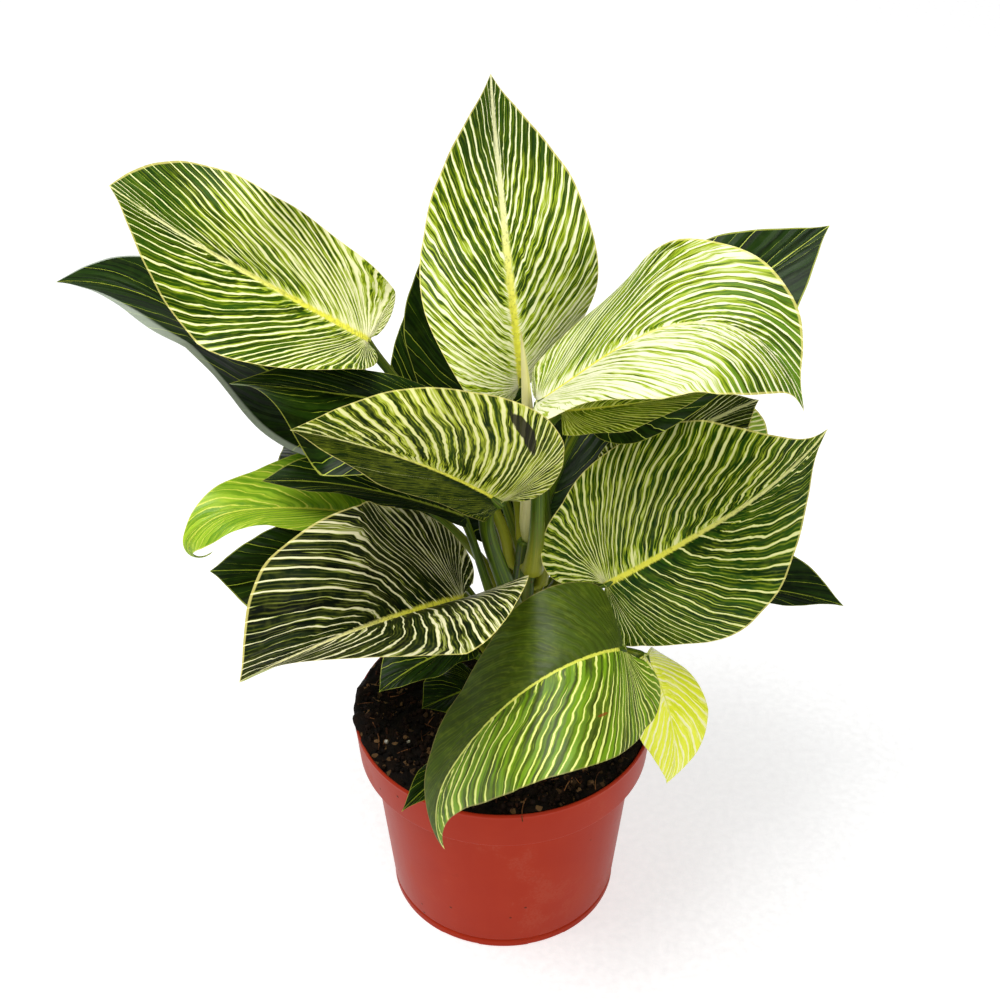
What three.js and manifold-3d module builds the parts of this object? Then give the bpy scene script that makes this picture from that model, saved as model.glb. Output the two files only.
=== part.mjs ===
// A potted birkin philodendron: a striped aroid in a round plastic nursery pot.
// Millimetres, +Z up. The origin is the middle of the pot's underside, +X is to the right of
// the plant's front and +Y is away from the viewer.
import * as THREE from "three";
import { mergeVertices } from "three/addons/utils/BufferGeometryUtils.js";
import Module from "manifold-3d";

const wasm = await Module();
wasm.setup();

// Driving dimensions
const clearance = 0.3;

const pot = {
  height: 91,
  rimRadius: 60,
  collarHeight: 18.5,
  collarFootRadius: 58.4,
  shoulderRadius: 53.2,
  footRadius: 46.5,
  footHeight: 3.2,
  footWidth: 3,
  grooveDepth: 0.7,
  grooveWidth: 1.6,
  wall: 1.3,
  floorRise: 1.4,
  padRadius: 9,
  rounding: 0.5,
  holeRadius: 3.4,
  holeCircle: 31,
  holes: 8,
  notches: 8,
  notchWidth: 16,
  notchHeight: 0.8,
  sides: 56,
};

const soil = {
  top: 90,
  crown: 3,
  crownRadius: 45,
  waves: [
    { height: 0.8, x: 0.21, y: 0.17, phase: 1.3 },
    { height: 0.5, x: 0.47, y: -0.39, phase: 0 },
    { height: 0.3, x: 0.13, y: 0.61, phase: 2 },
  ],
  rings: 7,
  sides: 36,
};

const stem = {
  foot: [3, 5, 70],
  waist: [5, 3, 120],
  top: [9, 0, 176],
  footRadius: 6,
  topRadius: 4,
  steps: 8,
  sides: 10,
};

const spear = {
  foot: [9, 0, 176.4],
  waist: [11, -5, 225],
  tip: [6, -5, 270],
  radius: 3.2,
  steps: 8,
  sides: 8,
};

const stalk = {
  footRadius: 2.3,
  topRadius: 1.6,
  splay: 0.3,
  knee: 50,
  risingShare: 0.35,
  arrivingShare: 0.3,
  steps: 7,
  sides: 6,
};

const blade = {
  ribHalf: 0.5,
  marginHalf: 0.3,
  veinSlant: 0.25,
  veinBend: 0.4,
  rows: 9,
  columns: 2,
  ribSteps: 48,
};

// A blade's outline from the edge of the notch behind the stalk, round the lobe and on to the
// tip: shares of the length along the rib and of the half width across it.
const outline = [
  [-0.1, 0.13],
  [-0.15, 0.36],
  [-0.11, 0.61],
  [0, 0.82],
  [0.17, 0.96],
  [0.35, 1],
  [0.55, 0.88],
  [0.73, 0.61],
  [0.87, 0.3],
  [0.95, 0.11],
  [1, 0],
];

// Each leaf: where stalk and blade meet, then the blade's length and its two half widths. A value
// given as a pair is for the left half and the right half. The lobe scales what lies behind the
// joint, the swell moves the width towards the tip, the fold lifts a half in degrees, and the tail
// is the share of the length that a thin tip takes. The rib's heading (0 is +X, 90 is away), its
// rise above level and the blade's roll (right side down) are lists of degrees spread evenly from
// the joint to the tip. The stalk leaves the stem at a share of its height, turned by an angle
// from the joint's side, splayed outwards, and meets the blade at the knee's angle.
const leaves = [
  {
    name: "top", look: "striped", joint: [6, 15, 236],
    length: 112, left: 32, right: 32, lobe: [0.3, 0.1], swell: [0, 0.1], fold: [0, 0],
    heading: [114, 98, 118], rise: [80, 54, 86], roll: [30, -18, -22],
    stalk: 0.97,
  },
  {
    name: "upper_right", look: "striped", joint: [12, -10, 245],
    length: 120, left: 32, right: 29, lobe: [0.1, 0], swell: [0.4, 0.9], fold: [7, 6], tail: 0.08,
    heading: [4, -20, -28, -29], rise: [38, 44, 37, 13, -40, -71], roll: [-14, 32, 41],
    stalk: 0.93, turn: 0, thickness: [3.2, 2],
  },
  {
    name: "upper_left", look: "striped", joint: [-49, 21, 251],
    length: 106, left: 37, right: 29, lobe: [0.4, 0.2], swell: [0, 0.9], fold: [42, -5],
    heading: [167, 172, 157], rise: [27, 30, 29], roll: [-28, -68, -37],
    stalk: 0.87, turn: -22, splay: 0.1,
  },
  {
    name: "far_left", look: "dark", joint: [-60, 33, 208],
    length: 127, left: 35, right: 29, lobe: [1, 0.3], swell: [-0.1, 0.5], fold: [11, 5],
    heading: [162, 163, 161], rise: [26, 32, -17], roll: [-11, 12, -6],
    stalk: 0.66, turn: -15,
  },
  {
    name: "left_shade", look: "dark", joint: [-23, -1, 235],
    length: 75, left: 37, right: 10, lobe: [0.5, 0.5], swell: [0.3, 0.6], fold: [26, 9],
    heading: [-169, -184, -167], rise: [22, 6, 13], roll: [-28, -42, 5],
    stalk: 0.76, turn: -24, splay: 0.2,
  },
  {
    name: "centre_left", look: "striped", joint: [-1, -30, 217],
    length: 88, left: 11, right: 38, lobe: [0, 0.6], swell: [0.4, -0.6], fold: [-30, 55],
    heading: [-164, -168, -138], rise: [42, 29, 32], roll: [-50, -34, 2],
    stalk: 0.5, turn: 25, splay: 0.15, knee: 80, drop: 1, thickness: [4.2, 2.4],
  },
  {
    name: "mid_left", look: "dark", joint: [-14, -4, 190],
    length: 77, left: 8, right: 15, lobe: [0, 0], swell: [0.5, 0.4], fold: [19, 8],
    heading: [-180, -180, -180], rise: [25, 14, -4], roll: [-13, -10, -24],
    stalk: 0.62, turn: -22,
  },
  {
    name: "curled_tip", look: "lime", joint: [-46, 5, 184],
    length: 92, left: 14, right: 24, lobe: [0.6, 0.6], swell: [0.8, -0.4], fold: [15, 14], tail: 0.12,
    heading: [-168, -166, -145], rise: [16, 16, 10, 1, -49, -219], roll: [-25, -4, -37],
    stalk: 0.5, turn: 0,
  },
  {
    name: "low_left_shade", look: "dark", joint: [-41, 0, 160],
    length: 70, left: 28, right: 22, lobe: 0.6, swell: 0.3, fold: [0, 0],
    heading: [-175], rise: [8, 2], roll: [-20],
    stalk: 0.4,
  },
  {
    name: "lower_left", look: "striped", joint: [-15, -25, 168],
    length: 105, left: 44, right: 42, lobe: [0.1, 0.8], swell: [-0.1, 0.6], fold: [44, 34],
    heading: [-138, -124, -169], rise: [19, 23, -26], roll: [-2, -37, 7],
    stalk: 0.42, turn: -18,
  },
  {
    name: "right", look: "striped", joint: [38, -15, 167],
    length: 101, left: 44, right: 41, lobe: [1.2, 0.75], swell: [0.3, -0.3], fold: [-7, -14], tail: 0.06,
    heading: [13, 2, 41], rise: [25, 38, 36], roll: [72, 43, 46],
    stalk: 0.56, drop: 0.4,
  },
  {
    name: "front", look: "olive", joint: [43, -50, 166],
    length: 128, left: 36, right: 29, lobe: [0.8, 0], swell: [-0.3, -0.6], fold: [1, -8], tail: 0.1,
    heading: [-140, -165, -160, -122], rise: [27, -37, -61, -117], roll: [-46, -13, -47],
    stalk: 0.39, turn: 8, drop: 0.4,
  },
  {
    name: "young_lime", look: "lime", joint: [54, -23, 139],
    length: 62, left: 18, right: 15, lobe: [0.1, 0.1], swell: [-0.1, -0.1], fold: [-22, -7],
    heading: [-48, -48, -42], rise: [-46, -74, -110], roll: [-21, 36, 39],
    stalk: 0.3, turn: 20,
  },
  {
    name: "back_right", look: "dark", joint: [35, 26, 222],
    length: 110, left: 28, right: 28, lobe: 0.6, swell: 0.2, fold: [5, 5],
    heading: [31, 24], rise: [24, 28], roll: [30],
    stalk: 0.84, turn: 25,
  },
  {
    name: "right_striped", look: "striped", joint: [21, 4, 232],
    length: 55, left: 14, right: 12, lobe: [0.1, 0], swell: [0.2, 0.1], fold: [5, 10],
    heading: [-1, -8, -7], rise: [5, 15, 18], roll: [34, 23, 26],
    stalk: 0.79, turn: 10,
  },
  {
    name: "right_wedge", look: "striped", joint: [44, 10, 196],
    length: 64, left: 16, right: 22, lobe: 0.6, swell: 0.2, fold: [5, 5],
    heading: [35, 25], rise: [23, 6], roll: [35],
    stalk: 0.68, turn: 36,
  },
  {
    name: "right_pale", look: "striped", joint: [46, 21, 180],
    length: 66, left: 23, right: 20, lobe: [0.6, 0.6], swell: [0.9, 0.2], fold: [31, 5],
    heading: [25, 28, 19], rise: [32, -2, -20], roll: [35, 53, 40],
    stalk: 0.62, turn: -10,
  },
  {
    name: "back_centre", look: "dark", joint: [16, 30, 163],
    length: 60, left: 24, right: 24, lobe: 0.6, swell: 0.2, fold: [5, 5],
    heading: [67, 76], rise: [43, 30], roll: [0],
    stalk: 0.52, turn: 20,
  },
  {
    name: "low_right", look: "dark", joint: [56, 4, 148],
    length: 76, left: 29, right: 12, lobe: 0.6, swell: 0.2, fold: [5, 5],
    heading: [4, -11], rise: [8, -14], roll: [0],
    stalk: 0.38, turn: 12,
  },
  {
    name: "back_left_tall", look: "dark", joint: [-8, 38, 206],
    length: 76, left: 22, right: 24, lobe: 0.6, swell: 0.2, fold: [8, 8],
    heading: [118], rise: [38, 80], roll: [0],
    stalk: 0.73, turn: -28,
  },
  {
    name: "back_left", look: "dark", joint: [-18, 38, 189],
    length: 62, left: 14, right: 24, lobe: 0.6, swell: 0.2, fold: [8, 8],
    heading: [125, 105], rise: [22, 58], roll: [0],
    stalk: 0.7, turn: -14,
  },
  {
    name: "small_front_left", look: "dark", joint: [-14, -25, 146],
    length: 38, left: 10, right: 17, lobe: 0.5, swell: 0.2, fold: [15, 10],
    heading: [-150], rise: [6, -28], roll: [-10],
    stalk: 0.34, turn: -2,
  },
  {
    name: "dim_front", look: "dark", joint: [-10, -18, 119],
    length: 30, left: 13, right: 13, lobe: 0.5, swell: 0.2, fold: [10, 10],
    heading: [-135], rise: [16, 12], roll: [-10],
    stalk: 0.26, turn: -10,
  },
  {
    name: "small_rim", look: "dark", joint: [-2, -30, 101],
    length: 54, left: 10, right: 9, lobe: 0.5, swell: 0.2, fold: [10, 10],
    heading: [-132], rise: [19, -14], roll: [0],
    stalk: 0.25, turn: 10,
  },
  {
    name: "rear_low", look: "dark", joint: [6, 46, 150],
    length: 96, left: 32, right: 32, lobe: 1, swell: 0.2, fold: [8, 8],
    heading: [88], rise: [12, -30], roll: [0],
    stalk: 0.3,
  },
  {
    name: "rear_left_low", look: "dark", joint: [-34, 36, 160],
    length: 80, left: 30, right: 30, lobe: 1, swell: 0.2, fold: [8, 8],
    heading: [138], rise: [14, -20], roll: [-5],
    stalk: 0.42,
  },
  {
    name: "rear_right_low", look: "dark", joint: [41, 41, 168],
    length: 92, left: 30, right: 30, lobe: 1, swell: 0.2, fold: [8, 8],
    heading: [44], rise: [16, -18], roll: [5],
    stalk: 0.48, turn: 10,
  },
];

// Materials
const plain = (color, roughness) => new THREE.MeshStandardMaterial({ color, roughness, metalness: 0 });
const terracottaPlastic = plain(0xa8382a, 0.42);
const peat = plain(0x4a3226, 0.96);
const stalkGreen = plain(0x74803a, 0.45);
const spearYellow = plain(0xd9d48a, 0.5);
const bladeLooks = {
  striped: plain(0x93a469, 0.4),
  dark: plain(0x2f4424, 0.36),
  olive: plain(0x5f7330, 0.36),
  lime: plain(0xb2bf45, 0.42),
};

const degrees = THREE.MathUtils.degToRad;
const mix = THREE.MathUtils.lerp;
const vector = (place) => new THREE.Vector3(...place);
const mergeReach = 1e-4;

// Turns a list of triangles, each three points, into a closed geometry of shared vertices.
function closedGeometry(triangles) {
  const apart = (a, b) => a.distanceTo(b) > mergeReach;
  const whole = triangles.filter(([a, b, c]) => apart(a, b) && apart(b, c) && apart(c, a));
  const soup = new THREE.BufferGeometry().setFromPoints(whole.flat());
  return mergeVertices(soup, mergeReach);
}

function solidOf(geometry) {
  const shared = geometry.clone();
  shared.deleteAttribute("normal");
  shared.deleteAttribute("uv");
  const merged = mergeVertices(shared, mergeReach);
  return new wasm.Manifold(
    new wasm.Mesh({
      numProp: 3,
      vertProperties: merged.attributes.position.array,
      triVerts: new Uint32Array(merged.index.array),
    }),
  );
}

function geometryOf(solid) {
  const made = solid.getMesh();
  const geometry = new THREE.BufferGeometry();
  geometry.setAttribute("position", new THREE.BufferAttribute(made.vertProperties, 3));
  geometry.setIndex(new THREE.BufferAttribute(made.triVerts, 1));
  geometry.computeVertexNormals();
  return geometry;
}

function named(name, geometry, material) {
  const mesh = new THREE.Mesh(geometry, material);
  mesh.name = name;
  return mesh;
}

// A list of values read at a share from 0 to 1, straight between its entries.
function along(list, share) {
  const place = THREE.MathUtils.clamp(share, 0, 1) * (list.length - 1);
  const from = Math.min(Math.floor(place), list.length - 1);
  const to = Math.min(from + 1, list.length - 1);
  return mix(list[from], list[to], place - from);
}

// A round tube of changing radius along a curve, closed at both ends.
function sweptTube(curve, radiusAt, steps, sides) {
  const frames = curve.computeFrenetFrames(steps, false);
  const rings = [];
  for (let i = 0; i <= steps; i++) {
    const centre = curve.getPointAt(i / steps);
    const ring = [];
    for (let k = 0; k < sides; k++) {
      const angle = (2 * Math.PI * k) / sides;
      const spoke = frames.normals[i]
        .clone()
        .multiplyScalar(Math.cos(angle))
        .addScaledVector(frames.binormals[i], Math.sin(angle));
      ring.push(centre.clone().addScaledVector(spoke, radiusAt(i / steps)));
    }
    rings.push(ring);
  }
  const triangles = [];
  for (let i = 0; i < steps; i++) {
    for (let k = 0; k < sides; k++) {
      const next = (k + 1) % sides;
      triangles.push([rings[i][k], rings[i][next], rings[i + 1][k]]);
      triangles.push([rings[i][next], rings[i + 1][next], rings[i + 1][k]]);
    }
  }
  for (let k = 1; k < sides - 1; k++) {
    triangles.push([rings[0][0], rings[0][k + 1], rings[0][k]]);
    triangles.push([rings[steps][0], rings[steps][k], rings[steps][k + 1]]);
  }
  return closedGeometry(triangles);
}

// Pot: levels and radii that the pot and the soil inside it share
const collarFoot = pot.height - pot.collarHeight;
const ledge = collarFoot + 2 * pot.wall;
const floorTop = pot.floorRise + pot.wall;
const bodyRadius = (z) => pot.footRadius + ((pot.shoulderRadius - pot.footRadius) * z) / collarFoot;

function potSolid() {
  const { height, rimRadius, wall, footHeight, footRadius, floorRise, rounding } = pot;
  const grooveMiddle = footHeight + pot.grooveWidth / 2;
  const grooveTop = footHeight + pot.grooveWidth;
  const profile = [
    [0, 0],
    [pot.padRadius, 0],
    [pot.padRadius + 2 * rounding, floorRise],
    [footRadius - pot.footWidth, floorRise],
    [footRadius - pot.footWidth + rounding, 0],
    [footRadius - rounding, 0],
    [footRadius, rounding],
    [bodyRadius(footHeight), footHeight],
    [bodyRadius(grooveMiddle) - pot.grooveDepth, grooveMiddle],
    [bodyRadius(grooveTop), grooveTop],
    [pot.shoulderRadius, collarFoot + wall],
    [pot.collarFootRadius - 2 * rounding, collarFoot],
    [pot.collarFootRadius, collarFoot + rounding],
    [rimRadius - rounding / 2, height - 4 * rounding],
    [rimRadius, height - 2 * rounding],
    [rimRadius - wall / 2, height],
    [rimRadius - wall, height - rounding],
    [pot.collarFootRadius - wall, ledge],
    [pot.shoulderRadius - wall, ledge],
    [bodyRadius(floorTop) - wall, floorTop + 3 * rounding],
    [bodyRadius(floorTop) - wall - 3 * rounding, floorTop],
    [0, floorTop],
  ].map(([r, z]) => new THREE.Vector2(r, z));
  let body = solidOf(new THREE.LatheGeometry(profile, pot.sides).rotateX(Math.PI / 2));
  const drillLength = 4 * floorTop;
  const drillSides = 10;
  for (let i = 0; i < pot.holes; i++) {
    const angle = (2 * Math.PI * i) / pot.holes;
    const drill = new THREE.CylinderGeometry(pot.holeRadius, pot.holeRadius, drillLength, drillSides)
      .rotateX(Math.PI / 2)
      .translate(pot.holeCircle * Math.cos(angle), pot.holeCircle * Math.sin(angle), floorTop / 2);
    body = body.subtract(solidOf(drill));
  }
  for (let i = 0; i < pot.notches; i++) {
    const notch = new THREE.BoxGeometry(3 * pot.footWidth, pot.notchWidth, 2 * pot.notchHeight)
      .translate(footRadius, 0, 0)
      .rotateZ((2 * Math.PI * (i + 0.5)) / pot.notches);
    body = body.subtract(solidOf(notch));
  }
  return body;
}

// Soil: fills the pot's inside up to the rim, with an uneven top that is highest in the middle.
function soilHeight(x, y) {
  const crown = soil.crown * Math.max(0, 1 - Math.hypot(x, y) / soil.crownRadius);
  const lumps = soil.waves.map((wave) => wave.height * Math.sin(x * wave.x + y * wave.y + wave.phase));
  return lumps.reduce((sum, lump) => sum + lump, soil.top + crown);
}

function soilGeometry() {
  const gap = pot.wall + clearance;
  const floor = floorTop + clearance;
  const shelf = ledge + clearance;
  const bevel = 2;
  const bottomRadius = pot.footRadius - gap - bevel;
  const shoulder = pot.shoulderRadius - gap;
  const rim = pot.rimRadius - gap - 2 * clearance;
  const edgeShare = 0.2;
  const ring = (radius, z) =>
    Array.from({ length: soil.sides }, (_, k) => {
      const angle = (2 * Math.PI * k) / soil.sides;
      const x = radius * Math.cos(angle);
      const y = radius * Math.sin(angle);
      return new THREE.Vector3(x, y, z ?? soilHeight(x, y));
    });
  const rings = [
    ring(bottomRadius - bevel / 2, floor),
    ring(bottomRadius, floor + bevel),
    ring(shoulder - clearance, ledge - 1),
    ring(shoulder, shelf),
    ring(pot.collarFootRadius - gap, shelf),
    ring(rim, pot.height - 2 * bevel),
  ];
  for (let i = 0; i < soil.rings; i++) {
    rings.push(ring((rim * (soil.rings - i - edgeShare)) / soil.rings));
  }
  const foot = new THREE.Vector3(0, 0, floor);
  const top = new THREE.Vector3(0, 0, soilHeight(0, 0));
  const last = rings[rings.length - 1];
  const triangles = [];
  for (let k = 0; k < soil.sides; k++) {
    const next = (k + 1) % soil.sides;
    triangles.push([foot, rings[0][next], rings[0][k]]);
    for (let i = 0; i < rings.length - 1; i++) {
      triangles.push([rings[i][k], rings[i][next], rings[i + 1][k]]);
      triangles.push([rings[i][next], rings[i + 1][next], rings[i + 1][k]]);
    }
    triangles.push([last[k], last[next], top]);
  }
  return closedGeometry(triangles);
}

// Stem and new leaf
const stemCurve = new THREE.QuadraticBezierCurve3(vector(stem.foot), vector(stem.waist), vector(stem.top));
const stemRadius = (share) => mix(stem.footRadius, stem.topRadius, share);

// The stem, or the socket for it in the soil, which is larger all round and at the foot.
function stemTube(extra) {
  const curve = stemCurve.clone();
  curve.v0.z -= extra;
  return sweptTube(curve, (share) => stemRadius(share) + extra, stem.steps, stem.sides);
}

function spearGeometry() {
  const curve = new THREE.QuadraticBezierCurve3(vector(spear.foot), vector(spear.waist), vector(spear.tip));
  const leastShare = 0.1;
  const radiusAt = (share) => spear.radius * Math.max(leastShare, Math.sqrt(1 - share ** 2));
  return sweptTube(curve, radiusAt, spear.steps, spear.sides);
}

// A blade's rib as stations of place and frame, each step straight on from the last.
function ribOf(leaf) {
  const stations = [];
  const place = vector(leaf.joint);
  for (let i = 0; i <= blade.ribSteps; i++) {
    const share = i / blade.ribSteps;
    const heading = degrees(along(leaf.heading, share));
    const rise = degrees(along(leaf.rise, share));
    const roll = degrees(along(leaf.roll, share));
    const ahead = new THREE.Vector3(
      Math.cos(rise) * Math.cos(heading),
      Math.cos(rise) * Math.sin(heading),
      Math.sin(rise),
    );
    const level = new THREE.Vector3(Math.sin(heading), -Math.cos(heading), 0);
    const face = level.clone().cross(ahead);
    const side = level
      .clone()
      .multiplyScalar(Math.cos(roll))
      .addScaledVector(face, -Math.sin(roll));
    const normal = side.clone().cross(ahead);
    stations.push({ place: place.clone(), ahead, side, normal });
    place.addScaledVector(ahead, leaf.length / blade.ribSteps);
  }
  return stations;
}

// A value given once for both halves, or as a pair for the left (-1) and the right (1).
function perHalf(value, half) {
  return Array.isArray(value) ? value[half > 0 ? 1 : 0] : value;
}

// The point of a blade at a share of its length and a share of one half's width, with its normal.
function bladePoint(leaf, stations, share, across, half) {
  const station = stations[Math.round(THREE.MathUtils.clamp(share, 0, 1) * blade.ribSteps)];
  const width = across * (half > 0 ? leaf.right : leaf.left);
  const fold = degrees(perHalf(leaf.fold, half));
  const point = station.place
    .clone()
    .addScaledVector(station.ahead, Math.min(share, 0) * leaf.length)
    .addScaledVector(station.side, half * width * Math.cos(fold))
    .addScaledVector(station.normal, width * Math.sin(fold));
  const normal = station.normal
    .clone()
    .multiplyScalar(Math.cos(fold))
    .addScaledVector(station.side, -half * Math.sin(fold));
  return { point, normal: across > 0 ? normal : station.normal };
}

const outlineCurve = new THREE.CatmullRomCurve3(outline.map(([forward, out]) => vector([forward, out, 0])));

// A vein from its root on the rib to where it meets the margin, at a share of the outline.
function veinAt(leaf, half, share) {
  if (share === 1) {
    return { root: 1, forward: 1, reach: 0 };
  }
  const { x, y } = outlineCurve.getPoint(share);
  const lobe = perHalf(leaf.lobe, half);
  const swell = perHalf(leaf.swell, half);
  const body = 1 - (leaf.tail ?? 0);
  const forward = x < 0 ? x * lobe : x + swell * x * (1 - x);
  const root = Math.max(0, x - blade.veinSlant * y);
  return { root: root * body, forward: forward * body, reach: y };
}

function bladeRow(leaf, stations, half, share) {
  const { root, forward, reach } = veinAt(leaf, half, share);
  const row = [];
  for (let j = 0; j <= blade.columns; j++) {
    const out = j / blade.columns;
    const place = mix(root, forward, out + blade.veinBend * (out * out - out));
    const { point, normal } = bladePoint(leaf, stations, place, reach * out, half);
    const thick = mix(blade.ribHalf, blade.marginHalf, out);
    row.push({
      top: point.clone().addScaledVector(normal, thick),
      bottom: point.clone().addScaledVector(normal, -thick),
    });
  }
  return row;
}

function bladeGeometry(leaf) {
  const stations = ribOf(leaf);
  const triangles = [];
  for (const half of [-1, 1]) {
    const rows = [];
    for (let i = 0; i <= blade.rows; i++) {
      rows.push(bladeRow(leaf, stations, half, i / blade.rows));
    }
    const face = (a, b, c) => triangles.push(half > 0 ? [a, b, c] : [a, c, b]);
    for (let i = 0; i < blade.rows; i++) {
      for (let j = 0; j < blade.columns; j++) {
        const [near, out, far, farOut] = [rows[i][j], rows[i][j + 1], rows[i + 1][j], rows[i + 1][j + 1]];
        face(near.top, out.top, farOut.top);
        face(near.top, farOut.top, far.top);
        face(near.bottom, farOut.bottom, out.bottom);
        face(near.bottom, far.bottom, farOut.bottom);
      }
      const [edge, next] = [rows[i][blade.columns], rows[i + 1][blade.columns]];
      face(edge.top, edge.bottom, next.bottom);
      face(edge.top, next.bottom, next.top);
    }
    for (let j = 0; j < blade.columns; j++) {
      const [inner, outer] = [rows[0][j], rows[0][j + 1]];
      face(inner.top, inner.bottom, outer.bottom);
      face(inner.top, outer.bottom, outer.top);
    }
  }
  return closedGeometry(triangles);
}

// A stalk leaves the stem beside it, rises outwards and bends into the back of the blade's joint.
function stalkCurve(leaf, footRadius, topRadius) {
  const base = stemCurve.getPointAt(leaf.stalk);
  const joint = ribOf(leaf)[0];
  const outward = joint.place.clone().sub(base).setZ(0).normalize();
  outward.applyAxisAngle(vector([0, 0, 1]), degrees(leaf.turn ?? 0));
  const start = base.addScaledVector(outward, stemRadius(leaf.stalk) + clearance + footRadius);
  const knee = degrees(leaf.knee ?? stalk.knee);
  const arrival = joint.ahead
    .clone()
    .multiplyScalar(Math.cos(knee))
    .addScaledVector(joint.normal, Math.sin(knee));
  const capShare = 0.6;
  const cap = capShare * topRadius * Math.abs(Math.cos(knee));
  const below = blade.ribHalf + clearance + cap + (leaf.drop ?? 0);
  const end = joint.place.clone().addScaledVector(joint.normal, -below);
  const reach = start.distanceTo(end);
  const leave = outward.clone().multiplyScalar(leaf.splay ?? stalk.splay).setZ(1).normalize();
  const rising = start.clone().addScaledVector(leave, reach * stalk.risingShare);
  const arriving = end.clone().addScaledVector(arrival, -reach * stalk.arrivingShare);
  return new THREE.CubicBezierCurve3(start, rising, arriving, end);
}

function stalkGeometry(leaf) {
  const [footRadius, topRadius] = leaf.thickness ?? [stalk.footRadius, stalk.topRadius];
  const radiusAt = (share) => mix(footRadius, topRadius, share);
  return sweptTube(stalkCurve(leaf, footRadius, topRadius), radiusAt, stalk.steps, stalk.sides);
}

// The plant in its pot
const plant = new THREE.Group();
const soilSolid = solidOf(soilGeometry()).subtract(solidOf(stemTube(clearance)));
plant.add(named("pot", geometryOf(potSolid()), terracottaPlastic));
plant.add(named("soil", geometryOf(soilSolid), peat));
plant.add(named("stem", stemTube(0), stalkGreen));
plant.add(named("new_leaf_spear", spearGeometry(), spearYellow));
for (const leaf of leaves) {
  plant.add(named(`${leaf.name}_blade`, bladeGeometry(leaf), bladeLooks[leaf.look]));
  plant.add(named(`${leaf.name}_stalk`, stalkGeometry(leaf), stalkGreen));
}

export default plant;
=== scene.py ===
# A potted birkin philodendron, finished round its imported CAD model.
# Metres, +Z up: the pot stands on the floor at the origin and the plant's front faces -Y.
import math

import bmesh
import bpy
from mathutils import Matrix, Vector, noise


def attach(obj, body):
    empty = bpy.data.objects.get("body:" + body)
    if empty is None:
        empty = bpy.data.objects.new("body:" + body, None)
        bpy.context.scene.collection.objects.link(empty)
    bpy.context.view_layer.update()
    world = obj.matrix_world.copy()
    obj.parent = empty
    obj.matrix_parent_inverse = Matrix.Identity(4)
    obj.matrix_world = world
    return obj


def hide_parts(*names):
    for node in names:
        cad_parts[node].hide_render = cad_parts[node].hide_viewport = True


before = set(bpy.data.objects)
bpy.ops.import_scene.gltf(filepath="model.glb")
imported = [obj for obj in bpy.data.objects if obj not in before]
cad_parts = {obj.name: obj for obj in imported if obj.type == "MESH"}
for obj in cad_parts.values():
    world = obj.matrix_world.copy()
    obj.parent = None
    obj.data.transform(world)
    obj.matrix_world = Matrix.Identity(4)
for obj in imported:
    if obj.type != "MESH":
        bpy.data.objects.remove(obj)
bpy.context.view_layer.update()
mm = 0.001
centimetre = 0.01
fullTurn = 2 * math.pi
print("frame loaded:", len(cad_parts), "nodes")


class Wire:
    # a node's output that can stand in a formula
    def __init__(self, graph, socket):
        self.graph = graph
        self.socket = socket


def addSign(sign, operation):
    # lets a wire stand on either side of a sign
    setattr(Wire, f"__{sign}__", lambda wire, other: wire.graph.calc(operation, wire, other))
    setattr(Wire, f"__r{sign}__", lambda wire, other: wire.graph.calc(operation, other, wire))


for sign, operation in (("add", "ADD"), ("sub", "SUBTRACT"), ("mul", "MULTIPLY"), ("truediv", "DIVIDE")):
    addSign(sign, operation)


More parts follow.
